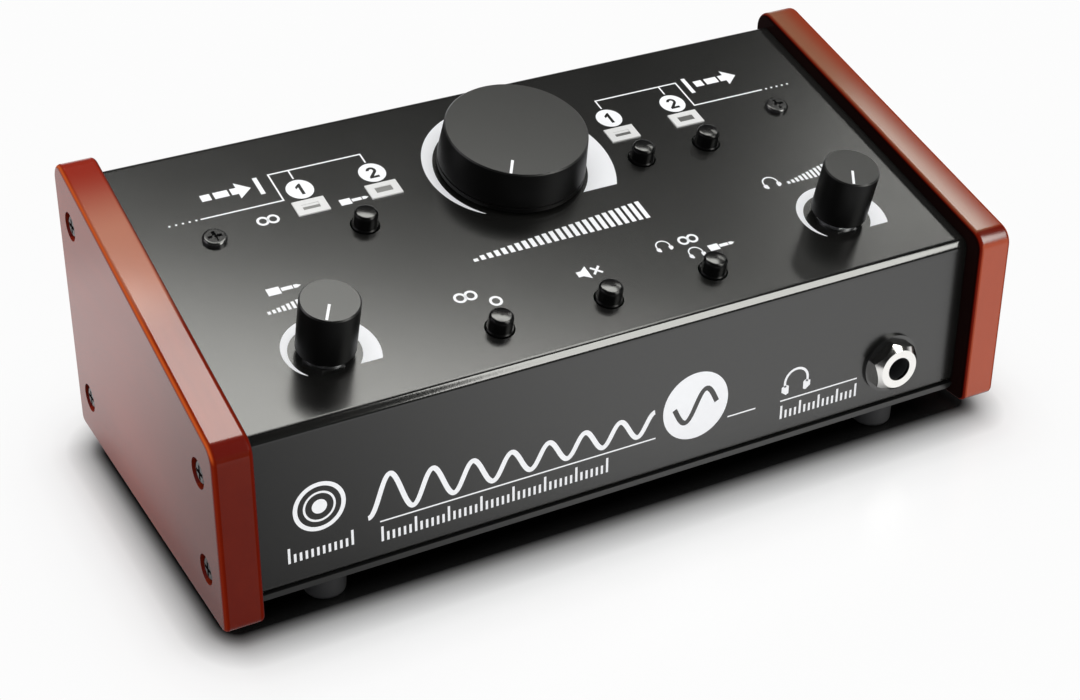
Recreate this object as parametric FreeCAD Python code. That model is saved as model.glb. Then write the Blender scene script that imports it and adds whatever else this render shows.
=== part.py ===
import FreeCAD, Part
import math
import os

# Studio monitor controller. Millimetres, +X to the right, +Y to the back, +Z up.
# The origin lies on the table, under the middle of the end cheeks.
os.makedirs("parts", exist_ok=True)
V = FreeCAD.Vector
Rotation = FreeCAD.Rotation
Placement = FreeCAD.Placement

# ---------------------------------------------------------------- driving dimensions
# Wooden end cheeks
inner_width = 200.0
cheek_thickness = 10.0
cheek_depth = 104.0
cheek_front_height = 49.0
cheek_back_height = 78.2
cheek_top_corner_r = 5.0
cheek_bottom_corner_r = 2.5
cheek_edge_r = 1.2
cheek_screw_from_front = 10.0
cheek_screw_from_back = 10.2
cheek_screw_above_base = 12.4
cheek_screw_below_top = 13.1
counterbore_r = 3.8
counterbore_depth = 2.7

# Steel case: a folded cover over a folded tray
sheet = 1.2
bend_inside_r = 0.8
front_fold_inside_r = 1.5
tray_sheet = 1.5
front_recess = 5.0
back_recess = 3.5
panel_drop = 3.8
chassis_rise = 2.6
cover_side_gap = 0.3
wall_gap = 0.5
lip_width = 9.0
lip_end_gap = 34.0
lip_screw_setback = 5.0

# Rubber feet
foot_height = 8.0
foot_top_r = 5.5
foot_bottom_r = 5.1
foot_round = 1.2
foot_from_side = 20.0
foot_from_end = 13.0
foot_screw_seat = 4.5
foot_recess_gap = 0.4

# M3 screws and nuts, and the larger cheek screws
m3_r = 1.5
m3_head_r = 2.8
m3_head_height = 1.9
m3_nut_flats = 5.5
m3_nut_height = 2.4
cover_screw_head_r = 3.15
cover_screw_head_height = 1.3
cheek_screw_r = 2.0
cheek_screw_head_r = 3.3
cheek_screw_head_height = 2.3
clinch_nut_r = 3.4
clinch_nut_height = 2.0
lip_nut_r = 3.0
lip_nut_height = 1.5
screw_end = 0.6
hole_clearance = 0.2
thread_gap = 0.05
lip_screw_from_middle = 60.0
head_round_share = 0.55
cross_length_share = 0.58
cross_width_share = 0.15
cross_floor_share = 0.4

# Rows of controls on the sloped panel, measured along the slope
small_knob_row = 20.0
front_button_row = 13.2
main_knob_from_back = 33.6
back_button_from_back = 41.7
window_row_from_back = 31.2
cover_screw_from_back = 34.8
small_knob_from_side = 27.8
cover_screw_from_side = 18.0
front_button_pitch = 30.0
source_middle = 45.0
source_pitch = 20.0

# Control board, carried under the panel
board_drop = 12.0
board_thickness = 1.6
board_front_gap = 6.0
board_back_gap = 9.0
board_side_gap = 8.5

# Potentiometers
pot_height = 10.0
main_pot_size = 20.0
small_pot_size = 11.0
pot_wall = 1.5
bushing_r = 3.5
bushing_above = 3.2
pot_washer_r = 5.5
pot_washer_height = 0.5
pot_nut_flats = 10.0
pot_nut_height = 2.0
shaft_r = 3.0
shaft_flat = 2.5
shaft_running_gap = 0.05
rotor_gap = 0.4
rotor_height = 1.5
leg_width = 0.8
leg_out = 0.8
leg_hole_gap = 0.15

# Knobs
main_knob_base_r = 19.4
main_knob_top_r = 18.6
main_knob_gap = 1.2
main_knob_top = 12.8
main_rim_height = 1.1
main_groove_height = 0.5
main_groove_depth = 0.4
main_knob_wall = 2.0
main_knob_roof = 2.0
main_hub_r = 7.5
small_knob_r = 7.25
small_knob_gap = 2.0
small_knob_top = 16.6
small_recess_r = 6.3
knob_chamfer = 0.35
nut_room = 0.9
shaft_roof = 1.8
push_fit_gap = 0.03
set_screw_r = 1.5
set_screw_length = 4.0

# Push buttons and their switches
cap_r = 3.05
cap_top = 4.5
cap_round = 0.9
cap_dome_r = 14.0
skirt_r = 3.5
skirt_top = 0.6
skirt_chamfer = 0.25
cap_below = 2.8
button_travel = 2.5
button_hole_gap = 0.3
stem_r = 1.5
stem_in_cap = 4.4
stem_gap = 0.08
switch_size = 8.0
switch_height = 7.0
switch_wall = 1.0
switch_floor = 0.5
plunger_flange_r = 2.5
plunger_flange_height = 0.9
plunger_side_gap = 0.3
plunger_top_gap = 0.1

# Indicator windows
window_length = 8.6
window_width = 5.2
window_height = 0.4
window_dish_length = 4.6
window_dish_width = 2.0
window_dish_depth = 0.15
stem_length = 4.8
stem_width = 2.2
window_hole_gap = 0.1
led_length = 3.2
led_width = 1.6
led_height = 1.1
led_gap = 0.3

# Sockets
jack_height = 14.0
jack_bore_r = 3.25
jack_depth = 27.0
jack_body_width = 15.6
jack_axis_above_board = 7.0
jack_above_axis = 6.5
jack_end_wall = 1.0
jack_bushing_r = 4.7
phones_from_side = 22.0
phones_washer_r = 8.1
phones_washer_height = 0.8
phones_nut_flats = 12.4
phones_nut_height = 3.4
phones_nut_lip = 0.8
phones_nut_chamfer = 1.6
phones_nut_turn = -19.0
phones_mouth_r = 3.3
rear_jack_count = 6
rear_jack_pitch = 20.0
rear_jack_from_side = 20.0
rear_washer_r = 7.4
rear_washer_height = 0.5
rear_nut_height = 2.2
contact_from_axis = 4.2
contact_thickness = 0.4
contact_width = 2.4
contact_top = 1.5
contact_pitch = 6.0
contact_first = 9.0
contact_gap = 0.15
aux_jack_step = 26.0
aux_bore_r = 1.8
aux_bushing_r = 3.0
aux_nut_r = 4.2
aux_nut_height = 2.0
aux_body_width = 9.0
aux_depth = 16.0
power_step = 24.0
power_bore_r = 2.8
power_bore_depth = 9.5
power_collar_r = 4.2
power_collar_out = 0.6
power_pin_r = 1.0
power_pin_setback = 1.0
power_body_width = 10.0
power_depth = 14.0

# Socket board on the tray, and the ribbon between the boards
socket_board_end_gap = 3.0
socket_board_side_gap = 11.0
standoff_r = 2.9
standoff_from_side = 30.0
standoff_from_end = 37.5
board_screw_length = 5.0
header_length = 26.0
header_width = 5.0
header_height = 7.0
header_from_front = 48.0
ribbon_width = 24.0
ribbon_thickness = 1.0
ribbon_straight = 5.0
ribbon_bend_r = 3.0

# ---------------------------------------------------------------- derived places
slope = math.atan2(cheek_back_height - cheek_front_height, cheek_depth)
slope_deg = math.degrees(slope)
half_width = inner_width / 2
cheek_base = foot_height - chassis_rise
cheek_front_y = -cheek_depth / 2
cheek_back_y = cheek_depth / 2
front_y = cheek_front_y + front_recess
back_y = cheek_back_y - back_recess
tray_z = foot_height
tray_top = tray_z + tray_sheet


def cheek_top_z(y):
    """Height of the cheek's sloped top edge at depth y."""
    return cheek_base + cheek_front_height + math.tan(slope) * (y - cheek_front_y)


def panel_z(y, below=0.0):
    """Height of the sloped panel at depth y, or of a plane square below it."""
    return cheek_top_z(y) - (panel_drop + below) / math.cos(slope)


panel_length = (back_y - front_y) / math.cos(slope)
panel_place = Placement(V(0, front_y, panel_z(front_y)), Rotation(V(1, 0, 0), slope_deg))
board_top = -sheet - board_drop
board_bottom = board_top - board_thickness
jack_z = tray_z + jack_height
socket_board_top = jack_z - jack_axis_above_board
socket_board_bottom = socket_board_top - board_thickness
phones_x = half_width - phones_from_side
rear_jack_xs = [half_width - rear_jack_from_side - i * rear_jack_pitch for i in range(rear_jack_count)]
aux_jack_x = rear_jack_xs[-1] - aux_jack_step
power_x = aux_jack_x - power_step
small_knob_x = half_width - small_knob_from_side
main_knob_row = panel_length - main_knob_from_back
back_button_row = panel_length - back_button_from_back
window_row = panel_length - window_row_from_back
screw_row = panel_length - cover_screw_from_back
near_x = source_middle - source_pitch / 2
far_x = source_middle + source_pitch / 2
window_spots = [(x, window_row) for x in (-far_x, -near_x, near_x, far_x)]
cover_screw_spots = [(side * (half_width - cover_screw_from_side), screw_row) for side in (-1, 1)]
button_spots = {
    "input": (-source_middle, back_button_row),
    "output_1": (near_x, back_button_row),
    "output_2": (far_x, back_button_row),
    "mono": (-front_button_pitch, front_button_row),
    "mute": (0.0, front_button_row),
    "listen": (front_button_pitch, front_button_row),
}
pot_spots = {
    "main": (0.0, main_knob_row),
    "aux": (-small_knob_x, small_knob_row),
    "phones": (small_knob_x, small_knob_row),
}
cheek_screw_spots = []
for depth in (cheek_front_y + cheek_screw_from_front, cheek_back_y - cheek_screw_from_back):
    cheek_screw_spots.append((depth, cheek_base + cheek_screw_above_base))
    cheek_screw_spots.append((depth, cheek_top_z(depth) - cheek_screw_below_top))
foot_x = half_width - foot_from_side
foot_spots = {
    "front_left": (-foot_x, cheek_front_y + foot_from_end),
    "front_right": (foot_x, cheek_front_y + foot_from_end),
    "rear_left": (-foot_x, cheek_back_y - foot_from_end),
    "rear_right": (foot_x, cheek_back_y - foot_from_end),
}
lip_screw_spots = []
for x in (-lip_screw_from_middle, lip_screw_from_middle):
    lip_screw_spots.append((x, front_y + lip_screw_setback))
    lip_screw_spots.append((x, back_y - lip_screw_setback))
standoff_x = half_width - standoff_from_side
standoff_y = cheek_depth / 2 - standoff_from_end
standoff_spots = [(x, y) for x in (-standoff_x, standoff_x) for y in (-standoff_y, standoff_y)]


# ---------------------------------------------------------------- shape helpers
def cylinder(radius, z0, z1, x=0.0, y=0.0):
    return Part.makeCylinder(radius, z1 - z0, V(x, y, z0))


def block(x0, x1, y0, y1, z0, z1):
    return Part.makeBox(x1 - x0, y1 - y0, z1 - z0, V(x0, y0, z0))


def centred_block(length, width, z0, z1, x=0.0, y=0.0):
    return block(x - length / 2, x + length / 2, y - width / 2, y + width / 2, z0, z1)


def hexagon(flats, z0, z1, x=0.0, y=0.0):
    corner_r = flats / math.sqrt(3)
    corners = [V(x + corner_r * math.cos(i * math.pi / 3), y + corner_r * math.sin(i * math.pi / 3), z0)
               for i in range(6)]
    return Part.Face(Part.makePolygon(corners + corners[:1])).extrude(V(0, 0, z1 - z0))


def turned(profile):
    """Solid of revolution about Z from (radius, height) points."""
    points = [V(r, 0, z) for r, z in profile]
    face = Part.Face(Part.makePolygon(points + points[:1]))
    return face.revolve(V(0, 0, 0), V(0, 0, 1), 360)


def rounded_wire(points, radii):
    """Closed wire through the points, each corner rounded by its radius."""
    count = len(points)
    starts = []
    ends = []
    arcs = []
    for i in range(count):
        here = points[i]
        before = (points[i - 1] - here).normalize()
        after = (points[(i + 1) % count] - here).normalize()
        if radii[i] <= 0:
            starts.append(here)
            ends.append(here)
            arcs.append(None)
            continue
        half_angle = before.getAngle(after) / 2
        reach = radii[i] / math.tan(half_angle)
        bisector = (before + after).normalize()
        middle = here + bisector * (radii[i] / math.sin(half_angle) - radii[i])
        starts.append(here + before * reach)
        ends.append(here + after * reach)
        arcs.append(Part.Arc(starts[-1], middle, ends[-1]).toShape())
    edges = []
    for i in range(count):
        if arcs[i] is not None:
            edges.append(arcs[i])
        edges.append(Part.LineSegment(ends[i], starts[(i + 1) % count]).toShape())
    return Part.Wire(edges)


def outline_edges(solid, axis, values):
    """Edges that lie in a plane square to an axis ('x' or 'z') at one of the values."""
    found = []
    for edge in solid.Edges:
        low = getattr(edge.BoundBox, axis.upper() + "Min")
        high = getattr(edge.BoundBox, axis.upper() + "Max")
        if high - low < 0.001 and any(abs(low - value) < 0.001 for value in values):
            found.append(edge)
    return found


def moved(shape, place):
    copy = shape.copy()
    copy.Placement = place.multiply(copy.Placement)
    return copy


def on_panel(shape, spot=(0.0, 0.0)):
    """Carry a shape from panel coordinates (across, up the slope, outwards) to the row frame."""
    return moved(shape, panel_place.multiply(Placement(V(spot[0], spot[1], 0), Rotation())))


def on_front(shape, x, z):
    """Carry a shape whose +Z points outwards on to the front panel."""
    return moved(shape, Placement(V(x, front_y, z), Rotation(V(1, 0, 0), 90)))


def on_back(shape, x, z):
    """Carry a shape whose +Z points outwards on to the rear panel."""
    turn = Rotation(V(0, 0, 1), 180).multiply(Rotation(V(1, 0, 0), 90))
    return moved(shape, Placement(V(x, back_y, z), turn))


def upside_down(shape, x, y, z):
    return moved(shape, Placement(V(x, y, z), Rotation(V(1, 0, 0), 180)))


def on_left_side(shape, x, y, z):
    """Turn a shape's +Z to point out of the left cheek."""
    return moved(shape, Placement(V(x, y, z), Rotation(V(0, 0, 1), V(-1, 0, 0))))


def mirrored(shape):
    return shape.mirror(V(0, 0, 0), V(1, 0, 0))


def both_sides(shapes):
    return shapes + [mirrored(shape) for shape in shapes]


def save(node, shapes):
    solids = shapes if isinstance(shapes, list) else [shapes]
    whole = solids[0] if len(solids) == 1 else Part.makeCompound(solids)
    whole.exportStep("parts/%s.step" % node)


def pan_screw(head_r, head_height, shank_r, length):
    """Cross-head screw with its head's underside at z 0 and its shank below."""
    head = cylinder(head_r, 0, head_height)
    head = head.makeFillet(head_height * head_round_share, outline_edges(head, "z", [head_height]))
    slot_length = 2 * head_r * cross_length_share
    slot_width = 2 * head_r * cross_width_share
    slot_floor = head_height * cross_floor_share
    cross = centred_block(slot_length, slot_width, slot_floor, head_height + 1)
    cross = cross.fuse(centred_block(slot_width, slot_length, slot_floor, head_height + 1))
    return head.cut(cross).fuse(cylinder(shank_r, -length, 0))


# ---------------------------------------------------------------- cheeks
def left_cheek():
    corners = [V(-half_width, cheek_front_y, cheek_base),
               V(-half_width, cheek_front_y, cheek_base + cheek_front_height),
               V(-half_width, cheek_back_y, cheek_base + cheek_back_height),
               V(-half_width, cheek_back_y, cheek_base)]
    radii = [cheek_bottom_corner_r, cheek_top_corner_r, cheek_top_corner_r, cheek_bottom_corner_r]
    face = Part.Face(rounded_wire(corners, radii))
    cheek = face.extrude(V(-cheek_thickness, 0, 0))
    outline = outline_edges(cheek, "x", [-half_width, -half_width - cheek_thickness])
    cheek = cheek.makeFillet(cheek_edge_r, outline)
    outside = -half_width - cheek_thickness
    for y, z in cheek_screw_spots:
        sink = cylinder(counterbore_r, -counterbore_depth, 1)
        drill = cylinder(cheek_screw_r + hole_clearance, -cheek_thickness - 1, 1)
        cheek = cheek.cut(on_left_side(sink.fuse(drill), outside, y, z))
    return cheek


def left_cheek_screws():
    seat = -half_width - cheek_thickness + counterbore_depth
    grip = cheek_thickness - counterbore_depth + tray_sheet + clinch_nut_height + screw_end
    screw = pan_screw(cheek_screw_head_r, cheek_screw_head_height, cheek_screw_r, grip)
    return [on_left_side(screw, seat, y, z) for y, z in cheek_screw_spots]


def left_cheek_nuts():
    nut = cylinder(clinch_nut_r, -clinch_nut_height, 0)
    nut = nut.cut(cylinder(cheek_screw_r + thread_gap, -clinch_nut_height - 1, 1))
    return [on_left_side(nut, -half_width + tray_sheet, y, z) for y, z in cheek_screw_spots]


# ---------------------------------------------------------------- case
def top_cover():
    # Bends in the order of the corners: the front fold is wider than the other three
    bend_radii = [bend_inside_r, front_fold_inside_r, bend_inside_r, bend_inside_r]
    inner_front = front_y + sheet
    inner_back = back_y - sheet
    side = half_width - cover_side_gap
    outer = [V(-side, front_y, tray_top), V(-side, front_y, panel_z(front_y)),
             V(-side, back_y, panel_z(back_y)), V(-side, back_y, tray_top)]
    inner = [V(-side, inner_front, tray_top + sheet), V(-side, inner_front, panel_z(inner_front, sheet)),
             V(-side, inner_back, panel_z(inner_back, sheet)), V(-side, inner_back, tray_top + sheet)]
    full = Part.Face(rounded_wire(outer, [radius + sheet for radius in bend_radii]))
    full = full.extrude(V(2 * side, 0, 0))
    hollow = Part.Face(rounded_wire(inner, bend_radii))
    hollow = hollow.extrude(V(2 * side, 0, 0))
    mouth = block(-side, side, front_y + lip_width, back_y - lip_width, tray_top - 1, tray_top + 2 * sheet)
    cutters = [hollow, mouth]
    lip_end = half_width - lip_end_gap
    for x0, x1 in ((-side, -lip_end), (lip_end, side)):
        cutters.append(block(x0, x1, inner_front, inner_back, tray_top - 1, tray_top + 2 * sheet))
    cutters += cover_openings()
    return full.cut(cutters)


def cover_openings():
    """Every hole through the cover, for the controls, sockets and screws."""
    above = 2 * sheet
    window_hole_length = stem_length + 2 * window_hole_gap
    window_hole_width = stem_width + 2 * window_hole_gap
    holes = []
    for spot in pot_spots.values():
        holes.append(on_panel(cylinder(bushing_r + hole_clearance / 2, -above, above), spot))
    for spot in button_spots.values():
        holes.append(on_panel(cylinder(skirt_r + button_hole_gap, -above, above), spot))
    for spot in window_spots:
        holes.append(on_panel(centred_block(window_hole_length, window_hole_width, -above, above), spot))
    for spot in cover_screw_spots:
        holes.append(on_panel(cylinder(m3_r + hole_clearance, -above, above), spot))
    bushing_hole = cylinder(jack_bushing_r + hole_clearance, -above, above)
    holes.append(on_front(bushing_hole, phones_x, jack_z))
    for x in rear_jack_xs:
        holes.append(on_back(bushing_hole, x, jack_z))
    holes.append(on_back(cylinder(aux_bushing_r + hole_clearance, -above, above), aux_jack_x, jack_z))
    holes.append(on_back(cylinder(power_collar_r + hole_clearance, -above, above), power_x, jack_z))
    for x, y in lip_screw_spots:
        holes.append(cylinder(m3_r + hole_clearance, tray_top - 1, tray_top + 2 * sheet, x, y))
    return holes


def bottom_tray():
    """Base plate with an end wall folded up at each side, inside the cover."""
    wall_top = panel_z(back_y)
    fold_r = tray_sheet
    outer = [V(-half_width, front_y, tray_z), V(half_width, front_y, tray_z),
             V(half_width, front_y, wall_top), V(-half_width, front_y, wall_top)]
    inset = half_width - tray_sheet
    inner = [V(-inset, front_y, tray_top), V(inset, front_y, tray_top),
             V(inset, front_y, wall_top + 1), V(-inset, front_y, wall_top + 1)]
    length = back_y - front_y
    folded = Part.Face(rounded_wire(outer, [fold_r, fold_r, 0, 0])).extrude(V(0, length, 0))
    hollow = Part.Face(rounded_wire(inner, [fold_r / 3, fold_r / 3, 0, 0])).extrude(V(0, length, 0))
    above_walls = centred_block(2 * inner_width, 4 * cheek_depth, -sheet - wall_gap, cheek_back_height)
    wall_front = front_y + sheet + wall_gap
    wall_back = back_y - sheet - wall_gap
    trims = [hollow, on_panel(above_walls),
             block(-inner_width, inner_width, front_y - 1, wall_front, tray_top, wall_top + 1),
             block(-inner_width, inner_width, wall_back, back_y + 1, tray_top, wall_top + 1)]
    wall_drill = cylinder(cheek_screw_r + hole_clearance, -2 * tray_sheet, tray_sheet)
    for y, z in cheek_screw_spots:
        hole = on_left_side(wall_drill, -half_width, y, z)
        trims += [hole, mirrored(hole)]
    for x, y in list(foot_spots.values()) + lip_screw_spots:
        trims.append(cylinder(m3_r + hole_clearance, tray_z - 1, tray_top + 1, x, y))
    return folded.cut(trims)


def rubber_foot(x, y):
    body = turned([(0, 0), (foot_bottom_r, 0), (foot_top_r, foot_height), (0, foot_height)])
    body = body.makeFillet(foot_round, outline_edges(body, "z", [0.0]))
    recess = cylinder(m3_head_r + foot_recess_gap, -1, foot_screw_seat)
    drill = cylinder(m3_r + hole_clearance, 0, foot_height + 1)
    return moved(body.cut([recess, drill]), Placement(V(x, y, 0), Rotation()))


def foot_screws():
    length = foot_height - foot_screw_seat + tray_sheet + m3_nut_height + screw_end
    screw = pan_screw(m3_head_r, m3_head_height, m3_r, length)
    return [upside_down(screw, x, y, foot_screw_seat) for x, y in foot_spots.values()]


def foot_nuts():
    nuts = []
    for x, y in foot_spots.values():
        nut = hexagon(m3_nut_flats, tray_top, tray_top + m3_nut_height, x, y)
        nuts.append(nut.cut(cylinder(m3_r + thread_gap, tray_z, tray_top + 2 * m3_nut_height, x, y)))
    return nuts


def bottom_screws():
    screw = pan_screw(m3_head_r, m3_head_height, m3_r, tray_sheet + sheet + lip_nut_height)
    return [upside_down(screw, x, y, tray_z) for x, y in lip_screw_spots]


def lip_nuts():
    nuts = []
    low = tray_top + sheet
    for x, y in lip_screw_spots:
        nut = cylinder(lip_nut_r, low, low + lip_nut_height, x, y)
        nuts.append(nut.cut(cylinder(m3_r + thread_gap, low - 1, low + lip_nut_height + 1, x, y)))
    return nuts


# ---------------------------------------------------------------- control board
def leg_places(size):
    """Where a potentiometer's legs stand, relative to its axis."""
    third = size / 3
    return [(x, y) for y in (-third, third) for x in (-third, 0.0, third)]


def pot_size(name):
    return main_pot_size if name == "main" else small_pot_size


def control_board():
    side = half_width - board_side_gap
    plate = block(-side, side, board_front_gap, panel_length - board_back_gap, board_bottom, board_top)
    holes = []
    for x, s in cover_screw_spots:
        holes.append(cylinder(m3_r + hole_clearance, board_bottom - 1, board_top + 1, x, s))
    side = leg_width + 2 * leg_hole_gap
    for name, (x, s) in pot_spots.items():
        for dx, dy in leg_places(pot_size(name)):
            holes.append(centred_block(side, side, board_bottom - 1, board_top + 1, x + dx, s + dy))
    return on_panel(plate.cut(holes))


def board_spacers():
    spacer = hexagon(m3_nut_flats, board_top, -sheet)
    spacer = spacer.cut(cylinder(m3_r + thread_gap, board_top - 1, 0))
    return [on_panel(spacer, spot) for spot in cover_screw_spots]


def cover_screws():
    screw = pan_screw(cover_screw_head_r, cover_screw_head_height, m3_r, board_screw_length)
    return [on_panel(screw, spot) for spot in cover_screw_spots]


def control_board_screws():
    screw = pan_screw(m3_head_r, m3_head_height, m3_r, board_screw_length)
    screw = upside_down(screw, 0, 0, board_bottom)
    return [on_panel(screw, spot) for spot in cover_screw_spots]


# ---------------------------------------------------------------- potentiometers and knobs
def pot_body(name):
    size = pot_size(name)
    floor = -sheet - pot_height
    body = centred_block(size, size, floor, -sheet)
    cavity_r = size / 2 - pot_wall
    body = body.cut(cylinder(cavity_r, floor + pot_wall, -sheet - pot_wall))
    body = body.fuse(cylinder(bushing_r, -sheet, bushing_above))
    body = body.cut(cylinder(shaft_r + shaft_running_gap, -sheet - 2 * pot_wall, bushing_above + 1))
    for dx, dy in leg_places(size):
        body = body.fuse(centred_block(leg_width, leg_width, board_bottom - leg_out, floor, dx, dy))
    return on_panel(body, pot_spots[name])


def flatted_rod(radius, flat, z0, z1):
    """Round rod with one flat on its +Y side."""
    rod = cylinder(radius, z0, z1)
    return rod.cut(block(-radius, radius, flat, radius + 1, z0 - 1, z1 + 1))


def pot_shaft(name):
    cavity_floor = -sheet - pot_height + pot_wall
    low = cavity_floor + rotor_gap
    top = knob_top(name) - shaft_roof
    flat_start = bushing_above + rotor_gap
    rotor_r = pot_size(name) / 2 - pot_wall - rotor_gap
    shaft = cylinder(shaft_r, low, flat_start)
    shaft = shaft.fuse(flatted_rod(shaft_r, shaft_flat, flat_start, top))
    shaft = shaft.fuse(cylinder(rotor_r, low, low + rotor_height))
    return on_panel(shaft, pot_spots[name])


def pot_washer(name):
    washer = cylinder(pot_washer_r, 0, pot_washer_height)
    washer = washer.cut(cylinder(bushing_r + hole_clearance / 2, -1, pot_washer_height + 1))
    return on_panel(washer, pot_spots[name])


def pot_nut(name):
    low = pot_washer_height
    high = low + pot_nut_height
    nut = hexagon(pot_nut_flats, low, high).cut(cylinder(bushing_r + thread_gap, low - 1, high + 1))
    return on_panel(nut, pot_spots[name])


def knob_top(name):
    return main_knob_top if name == "main" else small_knob_top


def shaft_socket(name):
    """The blind D-shaped hole in a knob's hub."""
    top = knob_top(name) - shaft_roof + push_fit_gap
    return flatted_rod(shaft_r + push_fit_gap, shaft_flat + push_fit_gap, 0, top)


def main_knob():
    low = main_knob_gap
    rim = low + main_rim_height
    groove = rim + main_groove_height
    groove_r = main_knob_base_r - main_groove_depth
    top_r = main_knob_top_r
    knob = turned([(0, low), (main_knob_base_r, low), (main_knob_base_r, rim), (groove_r, rim),
                   (groove_r, groove), (main_knob_base_r - push_fit_gap, groove),
                   (top_r, main_knob_top - knob_chamfer), (top_r - knob_chamfer, main_knob_top),
                   (0, main_knob_top)])
    roof = main_knob_top - main_knob_roof
    hollow = cylinder(groove_r - main_knob_wall, low - 1, roof)
    hollow = hollow.cut(cylinder(main_hub_r, low - 1, roof + 1))
    hub_low = pot_washer_height + pot_nut_height + nut_room
    room = cylinder(main_hub_r + 1, low - 1, max(hub_low, bushing_above + rotor_gap))
    grub_hole = cylinder(set_screw_r + thread_gap, 0, main_knob_base_r + 1)
    knob = knob.cut([hollow, room, shaft_socket("main"), set_screw_place(grub_hole)])
    return on_panel(knob, pot_spots["main"])


def set_screw_place(shape):
    """Lay a shape along +Y at the height of the main knob's set screw."""
    height = (bushing_above + main_knob_top - shaft_roof) / 2 + rotor_gap
    return moved(shape, Placement(V(0, 0, height), Rotation(V(1, 0, 0), -90)))


def main_knob_set_screw():
    low = shaft_flat
    screw = cylinder(set_screw_r, low, low + set_screw_length)
    driver = hexagon(set_screw_r, low + set_screw_length / 2, low + set_screw_length + 1)
    return on_panel(set_screw_place(screw.cut(driver)), pot_spots["main"])


def small_knob(name):
    low = small_knob_gap
    top = small_knob_top
    r = small_knob_r
    knob = turned([(0, low), (r - knob_chamfer, low), (r, low + knob_chamfer), (r, top - knob_chamfer),
                   (r - knob_chamfer, top), (0, top)])
    recess_top = pot_washer_height + pot_nut_height + nut_room
    recess = cylinder(small_recess_r, low - 1, max(recess_top, bushing_above + rotor_gap))
    return on_panel(knob.cut([recess, shaft_socket(name)]), pot_spots[name])


# ---------------------------------------------------------------- push buttons
def button_cap(name):
    low = -cap_below
    skirt = turned([(0, low), (skirt_r, low), (skirt_r, skirt_top - skirt_chamfer),
                    (skirt_r - skirt_chamfer, skirt_top), (0, skirt_top)])
    dome = Part.makeSphere(cap_dome_r, V(0, 0, cap_top - cap_dome_r))
    pillar = cylinder(cap_r, low, cap_top + 1).common(dome)
    rim = cap_top - cap_dome_r + math.sqrt(cap_dome_r ** 2 - cap_r ** 2)
    pillar = pillar.makeFillet(cap_round, outline_edges(pillar, "z", [rim]))
    bore = cylinder(stem_r + push_fit_gap, low - 1, low + stem_in_cap + push_fit_gap)
    return on_panel(skirt.fuse(pillar).cut(bore), button_spots[name])


def switch_top():
    return board_top + switch_height


def plunger(name):
    flange_top = switch_top() - switch_wall - plunger_top_gap
    stem = cylinder(stem_r, flange_top, -cap_below + stem_in_cap)
    flange = cylinder(plunger_flange_r, flange_top - plunger_flange_height, flange_top)
    return on_panel(stem.fuse(flange), button_spots[name])


def switch_bodies():
    body = centred_block(switch_size, switch_size, board_top, switch_top())
    cavity_r = plunger_flange_r + plunger_side_gap
    cavity = cylinder(cavity_r, board_top + switch_floor, switch_top() - switch_wall)
    guide = cylinder(stem_r + stem_gap, switch_top() - 2 * switch_wall, switch_top() + 1)
    body = body.cut([cavity, guide])
    return [on_panel(body, spot) for spot in button_spots.values()]


# ---------------------------------------------------------------- indicators
def indicator_windows():
    plate = centred_block(window_length, window_width, 0, window_height)
    stem = centred_block(stem_length, stem_width, board_top + led_height + led_gap, window_height)
    dish_floor = window_height - window_dish_depth
    dish = centred_block(window_dish_length, window_dish_width, dish_floor, window_height + 1)
    window = plate.fuse(stem).cut(dish)
    return [on_panel(window, spot) for spot in window_spots]


def indicator_leds():
    led = centred_block(led_length, led_width, board_top, board_top + led_height)
    return [on_panel(led, spot) for spot in window_spots]


# ---------------------------------------------------------------- sockets
def contact_depths():
    """Depths of a large socket's three contacts and the side that each one is on."""
    return [(-sheet - contact_first - i * contact_pitch, side) for i, side in enumerate((-1, 1, -1))]


def jack_body(bushing_out):
    back = -sheet - jack_depth
    half_body = jack_body_width / 2
    body = block(-half_body, half_body, -jack_axis_above_board, jack_above_axis, back, -sheet)
    body = body.fuse(cylinder(jack_bushing_r, -sheet, bushing_out))
    cuts = [cylinder(jack_bore_r, back + jack_end_wall, bushing_out + 1)]
    for depth, side in contact_depths():
        x = side * contact_from_axis
        half = contact_thickness / 2 + contact_gap
        reach = contact_width / 2 + contact_gap
        cuts.append(block(x - half, x + half, -jack_axis_above_board - 1, contact_top + contact_gap,
                          depth - reach, depth + reach))
    return body.cut(cuts)


def jack_contacts():
    strips = []
    low = -jack_axis_above_board - board_thickness - leg_out
    half = contact_thickness / 2
    for depth, side in contact_depths():
        x = side * contact_from_axis
        strips.append(block(x - half, x + half, low, contact_top,
                            depth - contact_width / 2, depth + contact_width / 2))
    return strips


def ring(inner_r, outer_r, z0, z1):
    return cylinder(outer_r, z0, z1).cut(cylinder(inner_r, z0 - 1, z1 + 1))


def chamfered_nut(flats, bore_r, z0, z1, chamfer):
    corner_r = flats / math.sqrt(3)
    top_r = flats / 2 - chamfer / 2
    cone = turned([(0, z0), (corner_r, z0), (corner_r, z1 - chamfer), (top_r, z1), (0, z1)])
    return hexagon(flats, z0, z1).common(cone).cut(cylinder(bore_r, z0 - 1, z1 + 1))


def jack_washers():
    inner_r = jack_bushing_r + thread_gap
    front = ring(inner_r, phones_washer_r, 0, phones_washer_height)
    rear = ring(inner_r, rear_washer_r, 0, rear_washer_height)
    return [on_front(front, phones_x, jack_z)] + [on_back(rear, x, jack_z) for x in rear_jack_xs]


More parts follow.
